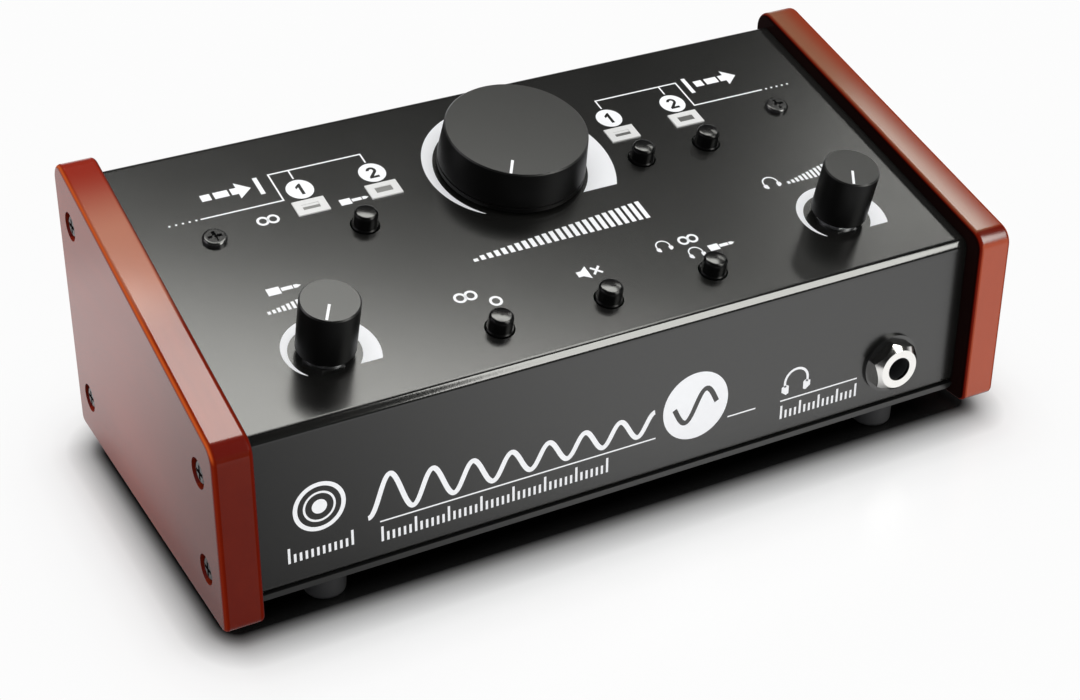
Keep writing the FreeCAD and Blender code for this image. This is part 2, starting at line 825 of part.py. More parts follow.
def phones_jack_nut():
    low = phones_washer_height
    high = low + phones_nut_height
    nut = chamfered_nut(phones_nut_flats, phones_mouth_r, low, high, phones_nut_chamfer)
    nut = nut.cut(cylinder(jack_bushing_r + thread_gap, low - 1, high - phones_nut_lip))
    return moved(nut, Placement(V(0, 0, 0), Rotation(V(0, 0, 1), phones_nut_turn)))


def phones_bushing_out():
    return phones_washer_height + phones_nut_height - phones_nut_lip - thread_gap


def rear_bushing_out():
    return rear_washer_height + rear_nut_height


def rear_nut():
    low = rear_washer_height
    return chamfered_nut(phones_nut_flats, jack_bushing_r + thread_gap, low, low + rear_nut_height,
                         rear_nut_height / 4)


def aux_jack_body():
    back = -sheet - aux_depth
    half = aux_body_width / 2
    body = block(-half, half, -jack_axis_above_board, half, back, -sheet)
    body = body.fuse(cylinder(aux_bushing_r, -sheet, aux_nut_height))
    return body.cut(cylinder(aux_bore_r, back + jack_end_wall, aux_nut_height + 1))


def power_inlet():
    back = -sheet - power_depth
    half = power_body_width / 2
    body = block(-half, half, -jack_axis_above_board, half, back, -sheet)
    body = body.fuse(cylinder(power_collar_r, -sheet, power_collar_out))
    return body.cut(cylinder(power_bore_r, power_collar_out - power_bore_depth, power_collar_out + 1))


def power_inlet_pin():
    pin = cylinder(power_pin_r, power_collar_out - power_bore_depth, power_collar_out - power_pin_setback)
    return pin.makeChamfer(power_pin_r / 3, outline_edges(pin, "z", [power_collar_out - power_pin_setback]))


# ---------------------------------------------------------------- socket board and ribbon
def socket_board():
    side = half_width - socket_board_side_gap
    front = front_y + sheet + socket_board_end_gap / 2
    back = back_y - sheet - socket_board_end_gap / 2
    plate = block(-side, side, front, back, socket_board_bottom, socket_board_top)
    holes = []
    for x, y in standoff_spots:
        holes.append(cylinder(m3_r + hole_clearance, socket_board_bottom - 1, socket_board_top + 1, x, y))
    grow = V(contact_gap, contact_gap, contact_gap)
    for strip in socket_contacts():
        low = V(strip.BoundBox.XMin, strip.BoundBox.YMin, socket_board_bottom - 1) - grow
        high = V(strip.BoundBox.XMax, strip.BoundBox.YMax, socket_board_top + 1) + grow
        holes.append(block(low.x, high.x, low.y, high.y, low.z, high.z))
    return plate.cut(holes)


def socket_contacts():
    strips = [on_front(strip, phones_x, jack_z) for strip in jack_contacts()]
    for x in rear_jack_xs:
        strips += [on_back(strip, x, jack_z) for strip in jack_contacts()]
    return strips


def socket_board_standoffs():
    posts = []
    for x, y in standoff_spots:
        post = cylinder(standoff_r, tray_top, socket_board_bottom, x, y)
        posts.append(post.cut(cylinder(m3_r + thread_gap, tray_top, socket_board_bottom + 1, x, y)))
    return posts


def socket_board_screws():
    length = board_thickness + socket_board_bottom - tray_top - screw_end
    screw = pan_screw(m3_head_r, m3_head_height, m3_r, length)
    return [moved(screw, Placement(V(x, y, socket_board_top), Rotation())) for x, y in standoff_spots]


def panel_point(x, s, w):
    return panel_place.multVec(V(x, s, w))


def ribbon_top():
    return panel_point(0, header_from_front, board_bottom - header_height)


def board_headers():
    upper = centred_block(header_length, header_width, board_bottom - header_height, board_bottom)
    lower = centred_block(header_length, header_width, socket_board_top, socket_board_top + header_height,
                          0, ribbon_top().y)
    return [on_panel(upper, (0, header_from_front)), lower]


def ribbon_cable():
    """Flat ribbon from the upper header's underside down to the lower header's top."""
    top = ribbon_top()
    square_down = panel_place.Rotation.multVec(V(0, 0, -1))
    low = V(0, top.y, socket_board_top + header_height)
    route = [top, top + square_down * ribbon_straight, low + V(0, 0, ribbon_straight), low]
    half = ribbon_thickness / 2
    across_top = panel_place.Rotation.multVec(V(0, 1, 0)) * half
    across = V(0, half, 0)
    sides = [across_top, across_top, across, across]
    near = [point + step for point, step in zip(route, sides)]
    far = [point - step for point, step in zip(route, sides)]
    radii = [0, ribbon_bend_r, ribbon_bend_r, 0]
    start = V(-ribbon_width / 2, 0, 0)
    outline = [point + start for point in near + far[::-1]]
    return Part.Face(rounded_wire(outline, radii + radii[::-1])).extrude(V(ribbon_width, 0, 0))


# ---------------------------------------------------------------- write every node
save("left_cheek", left_cheek())
save("right_cheek", mirrored(left_cheek()))
save("cheek_screws", both_sides(left_cheek_screws()))
save("cheek_nuts", both_sides(left_cheek_nuts()))
save("top_cover", top_cover())
save("bottom_tray", bottom_tray())
save("cover_screws", cover_screws())
save("bottom_screws", bottom_screws())
save("lip_nuts", lip_nuts())
for corner, (x, y) in foot_spots.items():
    save("foot_" + corner, rubber_foot(x, y))
save("foot_screws", foot_screws())
save("foot_nuts", foot_nuts())
save("control_board", control_board())
save("board_spacers", board_spacers())
save("board_screws", control_board_screws() + socket_board_screws())
for name in pot_spots:
    save(name + "_pot_body", pot_body(name))
    save(name + "_pot_shaft", pot_shaft(name))
save("pot_washers", [pot_washer(name) for name in pot_spots])
save("pot_nuts", [pot_nut(name) for name in pot_spots])
save("main_knob", main_knob())
save("main_knob_set_screw", main_knob_set_screw())
for name in ("aux", "phones"):
    save(name + "_knob", small_knob(name))
for name in button_spots:
    save(name + "_button", button_cap(name))
    save(name + "_plunger", plunger(name))
save("switch_bodies", switch_bodies())
save("indicator_windows", indicator_windows())
save("indicator_leds", indicator_leds())
save("phones_jack_body", on_front(jack_body(phones_bushing_out()), phones_x, jack_z))
save("phones_jack_nut", on_front(phones_jack_nut(), phones_x, jack_z))
save("rear_jack_bodies", [on_back(jack_body(rear_bushing_out()), x, jack_z) for x in rear_jack_xs])
save("jack_washers", jack_washers())
save("rear_jack_nuts", [on_back(rear_nut(), x, jack_z) for x in rear_jack_xs])
save("socket_contacts", socket_contacts())
save("aux_jack_body", on_back(aux_jack_body(), aux_jack_x, jack_z))
aux_nut = ring(aux_bushing_r + thread_gap, aux_nut_r, 0, aux_nut_height)
save("aux_jack_nut", on_back(aux_nut, aux_jack_x, jack_z))
save("power_inlet", on_back(power_inlet(), power_x, jack_z))
save("power_inlet_pin", on_back(power_inlet_pin(), power_x, jack_z))
save("socket_board", socket_board())
save("socket_board_standoffs", socket_board_standoffs())
save("board_headers", board_headers())
save("ribbon_cable", ribbon_cable())
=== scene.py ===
# %% [markdown]
# # A studio monitor controller
#
# The real thing is a small desk unit: a folded steel case, black and satin, held between
# two lacquered wooden cheeks. Three knobs and six push buttons stand on its sloped top.
#
# The construction already exists as a set of CAD bodies. This lesson dresses them: it gives
# every body a finish, prints the white markings, adds the knobs' pointer lines and sets up a
# plain studio. Nothing from the CAD is moved or reshaped.

# %% Load the frame
import math

import bmesh
import bpy
from mathutils import Matrix, Vector
from mathutils.geometry import tessellate_polygon


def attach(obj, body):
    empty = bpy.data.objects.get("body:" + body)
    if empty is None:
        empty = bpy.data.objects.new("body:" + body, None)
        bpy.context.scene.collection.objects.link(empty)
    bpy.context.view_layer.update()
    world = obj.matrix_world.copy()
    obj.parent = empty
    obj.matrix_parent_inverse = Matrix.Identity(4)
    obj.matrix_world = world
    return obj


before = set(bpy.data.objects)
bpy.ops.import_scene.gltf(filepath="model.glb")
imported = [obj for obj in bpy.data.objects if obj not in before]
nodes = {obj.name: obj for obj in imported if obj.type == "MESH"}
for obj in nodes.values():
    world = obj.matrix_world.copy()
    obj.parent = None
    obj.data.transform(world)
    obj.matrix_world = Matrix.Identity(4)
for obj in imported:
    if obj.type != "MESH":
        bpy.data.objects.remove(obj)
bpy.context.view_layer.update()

# %% [markdown]
# ## Places to work in
#
# Markings could be modelled straight on the sloped panel, but slanting coordinates are hard to
# read. They are drawn flat instead, in millimetres, and then laid on the case. Three small
# matrices do the laying, one for each printed face. The slope comes from the cheeks' heights,
# so the print follows the panel exactly.

# %% Millimetres and the three faces
MM = 0.001
CHEEK_DEPTH, CHEEK_FRONT, CHEEK_BACK = 104.0, 49.0, 78.2
CHEEK_LIFT, PANEL_DROP = 5.4, 3.8
FRONT_Y, BACK_Y, CASE_Z = -47.0, 48.5, 8.0
SLOPE = math.atan2(CHEEK_BACK - CHEEK_FRONT, CHEEK_DEPTH)
TOP_FRONT_Z = (CHEEK_LIFT + CHEEK_FRONT + math.tan(SLOPE) * (FRONT_Y + CHEEK_DEPTH / 2)
               - PANEL_DROP / math.cos(SLOPE))
PANEL_LENGTH = (BACK_Y - FRONT_Y) / math.cos(SLOPE)
UPRIGHT = (math.pi / 2, "X")


def face_matrix(x, y, z, *turns):
    """A matrix from flat millimetre drawings to a face of the case, in metres."""
    matrix = Matrix.Translation(Vector((x, y, z)) * MM)
    for angle, axis in turns:
        matrix = matrix @ Matrix.Rotation(angle, 4, axis)
    return matrix @ Matrix.Scale(MM, 4)


TOP = face_matrix(0, FRONT_Y, TOP_FRONT_Z, (SLOPE, "X"))
FRONT = face_matrix(0, FRONT_Y, CASE_Z, UPRIGHT)
REAR = face_matrix(0, BACK_Y, CASE_Z, (math.pi, "Z"), UPRIGHT)
print("slope in degrees: %.2f, panel length in mm: %.2f" % (math.degrees(SLOPE), PANEL_LENGTH))

# %% [markdown]
# ## Effects that several finishes share
#
# Powder coat, moulded plastic and rubber are never perfectly smooth, and no surface has the
# same sheen all over. Both effects could be wired anew in every material. They are built once
# instead, each as a shader node group with named inputs, so a change reaches every finish.
# The group gives back plain values; every material decides for itself where they go.


# %% Helpers for shader nodes
def feed(tree, socket, value):
    """Sets a socket to a number or a colour, or links another node's output to it."""
    if isinstance(value, (int, float, tuple)):
        socket.default_value = value
    else:
        tree.links.new(value, socket)


def set_sockets(node, values):
    """Sets a node's own sockets by their names."""
    for label, value in values.items():
        node.inputs[label].default_value = value


def maths(tree, operation, *values, clamp=False):
    """A Math node whose inputs are numbers or sockets; returns its output socket."""
    node = tree.nodes.new("ShaderNodeMath")
    node.operation = operation
    node.use_clamp = clamp
    for socket, value in zip(node.inputs, values):
        feed(tree, socket, value)
    return node.outputs[0]


def texture_place(tree, kind="Object"):
    """One output of a Texture Coordinate node."""
    return tree.nodes.new("ShaderNodeTexCoord").outputs[kind]


def split(tree, kind):
    """The X, Y and Z of one output of a Texture Coordinate node."""
    node = tree.nodes.new("ShaderNodeSeparateXYZ")
    tree.links.new(texture_place(tree, kind), node.inputs[0])
    return node.outputs


def noise(tree, place, scale, detail=3.0, roughness=0.5):
    """A noise texture at the given place; returns its value socket."""
    node = tree.nodes.new("ShaderNodeTexNoise")
    inputs = {"Vector": place, "Scale": scale, "Detail": detail, "Roughness": roughness}
    for label, value in inputs.items():
        feed(tree, node.inputs[label], value)
    return node.outputs["Fac"]


def node_group(name, inputs, output):
    """A new shader group of float sockets; returns its tree, its inputs and its output."""
    tree = bpy.data.node_groups.new(name, "ShaderNodeTree")
    for label, value in inputs.items():
        socket = tree.interface.new_socket(label, in_out="INPUT", socket_type="NodeSocketFloat")
        socket.default_value = value
    tree.interface.new_socket(output, in_out="OUTPUT", socket_type="NodeSocketFloat")
    inside = tree.nodes.new("NodeGroupInput").outputs
    return tree, inside, tree.nodes.new("NodeGroupOutput").inputs[output]


# %% Fine texture: the orange peel of powder coat, or the grain of a mould
SWELL_SHARE = 0.22  # grains of the soft swell for each fine one
peel, peel_in, peel_out = node_group(
    "fine_texture", {"Grains per m": 3000.0, "Softness": 0.5}, "Height")
place = texture_place(peel)
grains = noise(peel, place, peel_in["Grains per m"], detail=2.0)
swell_scale = maths(peel, "MULTIPLY", peel_in["Grains per m"], SWELL_SHARE)
swell = noise(peel, place, swell_scale, detail=1.0)
softened = maths(peel, "MULTIPLY", swell, peel_in["Softness"])
peel.links.new(maths(peel, "ADD", softened, grains), peel_out)
print("group:", peel.name)

# %% Handling: where use has made the sheen duller or brighter
NOISE_MEAN = 0.5
handling, handling_in, handling_out = node_group(
    "handling", {"Roughness": 0.4, "Spread": 0.05, "Patches per m": 30.0}, "Roughness")
patches = noise(handling, texture_place(handling), handling_in["Patches per m"],
                detail=4.0, roughness=0.6)
centred = maths(handling, "SUBTRACT", patches, NOISE_MEAN)
swing = maths(handling, "MULTIPLY", centred, handling_in["Spread"])
handled = maths(handling, "ADD", handling_in["Roughness"], swing, clamp=True)
handling.links.new(handled, handling_out)
print("group:", handling.name)

# %% Rounded edges: 1 where a fillet turns from one face to the next
FULL = 4.0  # s(1 - s), with s the square of the normal's X, is at most a quarter
edges, edges_in, edges_out = node_group("rounded_edges", {"Sharpness": 1.0}, "Mask")
normal_x = split(edges, "Normal")["X"]
square = maths(edges, "MULTIPLY", normal_x, normal_x)
turning = maths(edges, "MULTIPLY", square, maths(edges, "SUBTRACT", 1.0, square))
mask = maths(edges, "MULTIPLY", turning, FULL, clamp=True)
edges.links.new(maths(edges, "POWER", mask, edges_in["Sharpness"]), edges_out)
print("group:", edges.name)

# %% [markdown]
# ## Finishes
#
# Each finish is a Principled shader. A number that is the same all over goes straight on to
# the shader; only what changes over the surface comes in through nodes: a faint variation of
# the colour, the handling of the sheen, and the height of the fine texture. The finishes
# differ in nothing but numbers, so one recipe and a table of numbers make them all.

# %% A recipe for painted, moulded and metal finishes
TINT_SCALE = 60.0  # patches of tint in a metre


def new_material(name, fixed):
    """A material with constants of its own; returns it, its tree and its shader."""
    material = bpy.data.materials.new(name)
    material.use_nodes = True
    shader = material.node_tree.nodes["Principled BSDF"]
    set_sockets(shader, fixed)
    return material, material.node_tree, shader


def place_group(tree, group, values):
    """Puts a shared group into a tree with values of its own; returns its output."""
    node = tree.nodes.new("ShaderNodeGroup")
    node.node_tree = group
    set_sockets(node, values)
    return node.outputs[0]


def colour_ramp(tree, value, *stops):
    """A colour ramp through stops of a position and a colour; returns its colour socket."""
    ramp = tree.nodes.new("ShaderNodeValToRGB")
    ready = len(ramp.color_ramp.elements)
    for i, (position, colour) in enumerate(stops):
        stop = (ramp.color_ramp.elements[i] if i < ready
                else ramp.color_ramp.elements.new(position))
        stop.position, stop.color = position, (*colour, 1.0)
    tree.links.new(value, ramp.inputs[0])
    return ramp.outputs[0]


def add_bump(tree, shader, height, depth):
    """Lets a height shape the shader's normal, to a depth in millimetres."""
    node = tree.nodes.new("ShaderNodeBump")
    node.inputs["Distance"].default_value = depth * MM
    tree.links.new(height, node.inputs["Height"])
    tree.links.new(node.outputs["Normal"], shader.inputs["Normal"])


def finish(name, colour, roughness, tint, spread, fixed, grains_per_m=0.0, depth=0.0):
    """A Principled material: colour with a faint variation, handled sheen, fine texture."""
    material, tree, shader = new_material(name, fixed)
    shades = [(position, [channel * share for channel in colour])
              for position, share in ((0.0, 1 - tint), (1.0, 1 + tint))]
    variation = noise(tree, texture_place(tree), TINT_SCALE, detail=5.0, roughness=0.6)
    tree.links.new(colour_ramp(tree, variation, *shades), shader.inputs["Base Color"])
    sheen = place_group(tree, handling, {"Roughness": roughness, "Spread": spread})
    tree.links.new(sheen, shader.inputs["Roughness"])
    if depth:
        add_bump(tree, shader, place_group(tree, peel, {"Grains per m": grains_per_m}), depth)
    return material


# %% The plain finishes, one for each kind of part
METAL = {"Metallic": 1.0}
RECIPES = [
    # name, colour, roughness, tint, spread, constants, grains per metre, their depth in mm
    ("satin_powder_coat", (0.0060, 0.0060, 0.0055), 0.23, 0.10, 0.04, {"IOR": 1.7}, 2600.0, 0.006),
    ("tray_powder_coat", (0.008, 0.008, 0.008), 0.30, 0.10, 0.06, {"IOR": 1.7}, 3800.0, 0.006),
    ("knob_plastic", (0.0015, 0.0015, 0.0015), 0.40, 0.10, 0.06, {"IOR": 1.25}, 5200.0, 0.006),
    ("button_plastic", (0.002, 0.002, 0.002), 0.25, 0.10, 0.05, {"IOR": 1.25}),
    ("black_steel", (0.010, 0.010, 0.010), 0.19, 0.15, 0.10, {"IOR": 1.8}, 2500.0, 0.004),
    ("zinc_steel", (0.60, 0.61, 0.63), 0.32, 0.06, 0.12, METAL),
    ("bright_nickel", (0.80, 0.79, 0.77), 0.14, 0.03, 0.06, METAL),
    ("foot_rubber", (0.028, 0.028, 0.030), 0.62, 0.15, 0.08, {}, 1800.0, 0.03),
    ("window_plastic", (0.74, 0.74, 0.73), 0.30, 0.03, 0.08, {}),
    ("lamp_resin", (0.80, 0.80, 0.62), 0.20, 0.05, 0.04, {}),
    ("socket_plastic", (0.022, 0.022, 0.024), 0.38, 0.12, 0.06, {}, 4200.0, 0.01),
    ("switch_plastic", (0.05, 0.05, 0.055), 0.42, 0.12, 0.06, {}, 4200.0, 0.01),
    ("plunger_plastic", (0.72, 0.72, 0.68), 0.34, 0.04, 0.06, {}),
    ("circuit_board", (0.015, 0.12, 0.04), 0.30, 0.18, 0.10, {}, 900.0, 0.02),
    ("tinned_brass", (0.62, 0.55, 0.38), 0.28, 0.08, 0.10, METAL),
    ("plain_steel", (0.50, 0.51, 0.53), 0.36, 0.06, 0.12, METAL),
    ("turned_aluminium", (0.72, 0.72, 0.74), 0.26, 0.05, 0.10, METAL),
    ("ribbon_sleeve", (0.34, 0.35, 0.37), 0.50, 0.10, 0.06, {}),
    ("white_ink", (0.91, 0.92, 0.94), 0.45, 0.02, 0.06, {}),
    ("window_grey", (0.22, 0.22, 0.21), 0.28, 0.08, 0.06, {}),
    ("window_dark_grey", (0.12, 0.12, 0.115), 0.28, 0.08, 0.06, {}),
]
FINISHES = {recipe[0]: finish(*recipe) for recipe in RECIPES}
print("finishes:", len(FINISHES))

# %% [markdown]
# ## Sheens that follow the way a surface faces
#
# The paint lies smoother over the folds of the sheet, so a fold draws a crisper highlight than
# the flat panels beside it. Knobs and button caps are polished on top and dull on their sides.
# A second material would need its own faces, and the CAD bodies stay as they are. The normal
# knows the way a surface faces, so it does the work: for the paint as a factor on the
# roughness, and for the plastic as the weight of a clear coat.

# %% A crisper sheen along the folds
FOLD_POLISH = 0.55  # the share of the roughness that a fold loses


def ramp_value(tree, value, start, end, low=0.0, high=1.0):
    """Smoothly from low to high while the value goes from start to end."""
    node = tree.nodes.new("ShaderNodeMapRange")
    node.interpolation_type = "SMOOTHSTEP"
    set_sockets(node, {"From Min": start, "From Max": end, "To Min": low, "To Max": high})
    tree.links.new(value, node.inputs["Value"])
    return node.outputs[0]


tree = FINISHES["satin_powder_coat"].node_tree
facing_end = maths(tree, "ABSOLUTE", split(tree, "Normal")["Y"])
leaving_top = ramp_value(tree, facing_end, 0.38, 0.48)
reaching_front = ramp_value(tree, facing_end, 0.975, 0.998, 1.0, 0.0)
on_fold = maths(tree, "MULTIPLY", leaving_top, reaching_front)
kept = maths(tree, "SUBTRACT", 1.0, maths(tree, "MULTIPLY", FOLD_POLISH, on_fold))
roughness = tree.nodes["Principled BSDF"].inputs["Roughness"]
sheen = roughness.links[0].from_socket
tree.links.new(maths(tree, "MULTIPLY", sheen, kept), roughness)
print("roughness kept on a fold: %.2f" % (1 - FOLD_POLISH))

# %% Polished tops on knobs and button caps
POLISHES = [
    # finish, coat roughness, coat IOR, the normal's Z where the coat begins and where it is full
    ("knob_plastic", 0.34, 1.60, 0.3, 0.85),
    ("button_plastic", 0.17, 1.55, 0.6, 0.95),
]
for name, coat_roughness, coat_ior, begins, full in POLISHES:
    tree = FINISHES[name].node_tree
    shader = tree.nodes["Principled BSDF"]
    set_sockets(shader, {"Coat Roughness": coat_roughness, "Coat IOR": coat_ior})
    polished = ramp_value(tree, split(tree, "Normal")["Z"], begins, full)
    tree.links.new(polished, shader.inputs["Coat Weight"])
    print("polished top:", name)

# %% [markdown]
# ## Lacquered wood
#
# The cheeks are solid wood, stained red-brown under a thick clear lacquer. A picture of wood
# would show the same streaks on every face. Here the grain is a noise squeezed across the
# board, which gives long streaks on the sides and small dots on the end grain. The lacquer is
# the Principled shader's own coat, so it stays sharp while the wood below it stays soft.

# %% Grain
LACQUER = {"Coat Roughness": 0.12, "Coat IOR": 1.60, "Specular IOR Level": 0.0,
           "Sheen Weight": 0.08, "Sheen Roughness": 0.35, "Roughness": 0.45}
STREAK_SCALE, CLOUD_SCALE = (260.0, 9.0, 170.0), 22.0  # across, along and up the board
STREAK_SHARE, CLOUD_SHARE = 0.45, 0.55
DARK_GRAIN, PALE_GRAIN = (0.15, 0.010, 0.002), (0.24, 0.022, 0.004)
PORE_DEPTH = 0.006

FINISHES["lacquered_wood"], tree, shader = new_material("lacquered_wood", LACQUER)
place = texture_place(tree)
stretch = tree.nodes.new("ShaderNodeMapping")
stretch.inputs["Scale"].default_value = STREAK_SCALE
tree.links.new(place, stretch.inputs["Vector"])
streaks = noise(tree, stretch.outputs[0], 1.0, detail=6.0, roughness=0.62)
clouds = noise(tree, place, CLOUD_SCALE)
figure = maths(tree, "ADD", maths(tree, "MULTIPLY", streaks, STREAK_SHARE),
               maths(tree, "MULTIPLY", clouds, CLOUD_SHARE))
bare_wood = colour_ramp(tree, figure, (0.30, DARK_GRAIN), (0.72, PALE_GRAIN))
add_bump(tree, shader, streaks, PORE_DEPTH)
print("grain nodes:", len(tree.nodes))

# %% [markdown]
# Over the stain, most colour on the cheeks is painted light and shade. Painted highlights: an
# orange glow along the rounded edges on the outside, stronger where they face up, and pale
# sheens on the tops and on the right cheek's front end. Painted shade: darker red along the
# rounded edges and on the round corners before each end, a near black front end and a darker
# front on the left cheek, and near black on the faces turned to the case. The stain itself is
# deeper red towards the outside of the right top and at the back of the left top. Painting
# this by hand would need a UV map. Masks say it in a few lines, from where a spot lies and which
# way it faces.

# %% Masks on a cheek
PIECES = (-0.01, 0.01)  # from the left cheek to the right one
SIDE_FACING = (0.85, 0.97)


def product(tree, *values):
    """All the values multiplied, held between 0 and 1."""
    result = values[0]
    for value in values[1:]:
        result = maths(tree, "MULTIPLY", result, value, clamp=True)
    return result


spot, facing = split(tree, "Object"), split(tree, "Normal")
from_middle = maths(tree, "ABSOLUTE", spot["X"])
sideways, endways = [maths(tree, "ABSOLUTE", facing[axis]) for axis in ("X", "Y")]
to_back = spot["Y"]
left_piece = ramp_value(tree, spot["X"], *PIECES, 0.75, 0.0)
right_piece = ramp_value(tree, spot["X"], *PIECES, 0.0, 0.60)
inner_face = ramp_value(tree, from_middle, 0.1001, 0.1004, 0.98, 0.0)
outwards = ramp_value(tree, from_middle, 0.1012, 0.1098)
outer_half = ramp_value(tree, from_middle, 0.1045, 0.1055)
front_end = ramp_value(tree, facing["Y"], -0.60, -0.35, 1.0, 0.0)
on_top = ramp_value(tree, facing["Z"], 0.60, 0.90)
upwards = ramp_value(tree, facing["Z"], 0.1, 0.45, 0.06, 0.65)
left_top, right_top = product(tree, on_top, left_piece), product(tree, on_top, right_piece)
left_side = product(tree, left_piece, ramp_value(tree, sideways, *SIDE_FACING))
end_corner = product(tree, ramp_value(tree, endways, 0.32, 0.42),
                     ramp_value(tree, endways, 0.84, 0.95, 0.9, 0.0))
# painted orange highlight towards the outside
# two masks along the rounded edges: the broad one for painted shade, the narrow one for a
crease, edge = [place_group(tree, edges, {"Sharpness": sharpness}) for sharpness in (0.7, 2.0)]
print("nodes with the masks:", len(tree.nodes))


# %% Coats of stain and painted light, one over the other
def mixed(tree, data_type, factor, off, on):
    """A Mix node for values or colours: off where the factor is 0, on where it is 1."""
    mix = tree.nodes.new("ShaderNodeMix")
    mix.data_type = data_type
    for label, value in (("Factor", factor), ("A", off), ("B", on)):
        feed(tree, mix.inputs[label], value)
    return mix.outputs["Result"]


# the wood's stain, with painted highlights and painted shade laid over it, one coat over the next
STAINS_AND_PAINTED_LIGHT = {
    # painted light: the right cheek's front end is the stain lit up, with a pale painted sheen
    "right front end, painted light and sheen": (product(tree, front_end, right_piece), (0.50, 0.115, 0.060)),
    # painted shade: the left cheek's side darkens towards its front
    "left side, painted shade to the front": (
        product(tree, left_side, ramp_value(tree, to_back, -0.045, 0.015, 1.0, 0.0)),
        (0.07, 0.006, 0.003)),
    # painted sheen: the pale tan over the right top stands in for the lacquer's reflection;
    # towards the outside the next coat keeps a deeper red stain
    "right top": (product(tree, right_top, 1.6), (0.24, 0.095, 0.050)),
    "right top, outer half": (product(tree, right_top, outwards, 1.6), (0.24, 0.030, 0.010)),
    # painted highlight: a pale pinkish beige over the left top, from its middle on, in place of
    # the overhead lamp's reflection
    "left top, painted highlight from the middle on": (
        product(tree, left_top, ramp_value(tree, to_back, -0.018, 0.004)),
        (0.50, 0.205, 0.130)),
    "left top at the back": (
        product(tree, left_top, ramp_value(tree, to_back, 0.020, 0.044), 1.25),
        (0.27, 0.010, 0.001)),
    # painted shade: the left cheek's front end is near black, while the same wood on the right is
    # lit
    "left front end, painted shade": (product(tree, front_end, left_piece), (0.085, 0.004, 0.001)),
    # painted shade: a dark red band on the round corners before each end
    "painted shade on the end corners": (end_corner, (0.12, 0.005, 0.002)),
    # painted shade: darker red along the rounded edges
    "painted shade on rounded edges": (product(tree, crease, 0.85), (0.12, 0.005, 0.001)),
    # painted highlight: an orange glow on the rounded edges towards the outside, stronger where
    # they face up
    "painted orange edge highlight": (product(tree, edge, outer_half, upwards), (0.62, 0.11, 0.018)),
    # painted shade: the faces turned to the case are near black, as the gap beside it is in shade
    "painted shade on the faces beside the case": (inner_face, (0.002, 0.0005, 0.0005)),
}
stain_and_painted_light = bare_wood
for where, colour in STAINS_AND_PAINTED_LIGHT.values():
    stain_and_painted_light = mixed(tree, "RGBA", where, stain_and_painted_light, (*colour, 1.0))
tree.links.new(stain_and_painted_light, shader.inputs["Base Color"])
print("coats of stain and painted light:", list(STAINS_AND_PAINTED_LIGHT))

# %% Where the lacquer lies thinner
thinner = ramp_value(tree, endways, 0.85, 0.98, 0.0, 0.55)
rounding = product(tree, ramp_value(tree, sideways, 0.02, 0.10),
                   ramp_value(tree, sideways, *SIDE_FACING, 0.95, 0.0))
left_front = product(tree, left_top, ramp_value(tree, to_back, -0.012, 0.012, 0.22, 0.0))
right_inner, right_outer = product(tree, right_top, 0.25), product(tree, right_top, outwards, 1.2)
for also_thin in (inner_face, rounding, left_front, right_inner, right_outer):
    thinner = maths(tree, "ADD", thinner, also_thin, clamp=True)
tree.links.new(maths(tree, "SUBTRACT", 1.0, thinner), shader.inputs["Coat Weight"])
print("wood nodes:", len(tree.nodes))

# %% [markdown]
# ## Dress the CAD bodies
#
# Finishes could be put on by hand, one body at a time. But a name tells what a body is made
# of, so a short table of finishes, with words to look for in the names, covers every body.
# The first finish with a word that fits wins, which puts the special cases first.

# %% Which finish goes on which body
DRESS = {
    "plunger_plastic": "plunger", "button_plastic": "button",
    "black_steel": "set_screw jack_washers cheek_screws cover_screws bottom_screws foot_screws",
    "turned_aluminium": "pot_shaft", "plain_steel": "pot_body",
    "zinc_steel": "pot_ cheek_nuts foot_nuts lip_nuts board_spacers board_screws standoffs",
    "bright_nickel": "jack_nut inlet_pin", "socket_plastic": "jack_bod inlet headers",
    "knob_plastic": "knob", "lacquered_wood": "cheek", "satin_powder_coat": "top_cover",
    "tray_powder_coat": "bottom_tray", "foot_rubber": "foot", "circuit_board": "board",
    "switch_plastic": "switch_bodies", "window_plastic": "windows", "lamp_resin": "leds",
    "tinned_brass": "contacts", "ribbon_sleeve": "ribbon",
}
for name, cad_object in nodes.items():
    chosen = next(finish_name for finish_name, words in DRESS.items()
                  if any(word in name for word in words.split()))
    cad_object.data.materials.clear()
    cad_object.data.materials.append(FINISHES[chosen])
print("dressed:", len(nodes))

# %% [markdown]
# ## White print
#
# The markings on the real case are screen printed: a film of white ink, a few hundredths of
# a millimetre thick. A painted image would blur from close by. Each marking is drawn as a flat
# outline instead and given the ink's thickness, which makes a real closed plate that lies on
# the paint. The drawing tools come first.

# %% Drawing tools, in millimetres
INK_BASE, INK_TOP = 0.004, 0.03
SHARPEST_MITRE = 0.3


def arc(x, y, radius, start, end, steps=40):
    """Points along an arc, in degrees, end points included."""
    angles = [math.radians(start + (end - start) * i / steps) for i in range(steps + 1)]
    return [(x + radius * math.cos(a), y + radius * math.sin(a)) for a in angles]


def disc(x, y, radius, steps=64):
    """The outline of a disc."""
    return arc(x, y, radius, 0, 360, steps)[:-1]


def both_edges(points, width):
    """The left and right edge of a thick line through the points, with mitred corners."""
    sides = ([], [])
    for i, (x, y) in enumerate(points):
        before = Vector(points[i]) - Vector(points[i - 1]) if i else None
        after = Vector(points[i + 1]) - Vector(points[i]) if i + 1 < len(points) else None
        before = (before or after).normalized()
        after = (after or before).normalized()
        across = Vector((-before.y - after.y, before.x + after.x)).normalized()
        mitre = max(SHARPEST_MITRE, across.dot(Vector((-before.y, before.x))))
        reach = width / 2 / mitre
        sides[0].append((x + across.x * reach, y + across.y * reach))
        sides[1].append((x - across.x * reach, y - across.y * reach))
    return sides


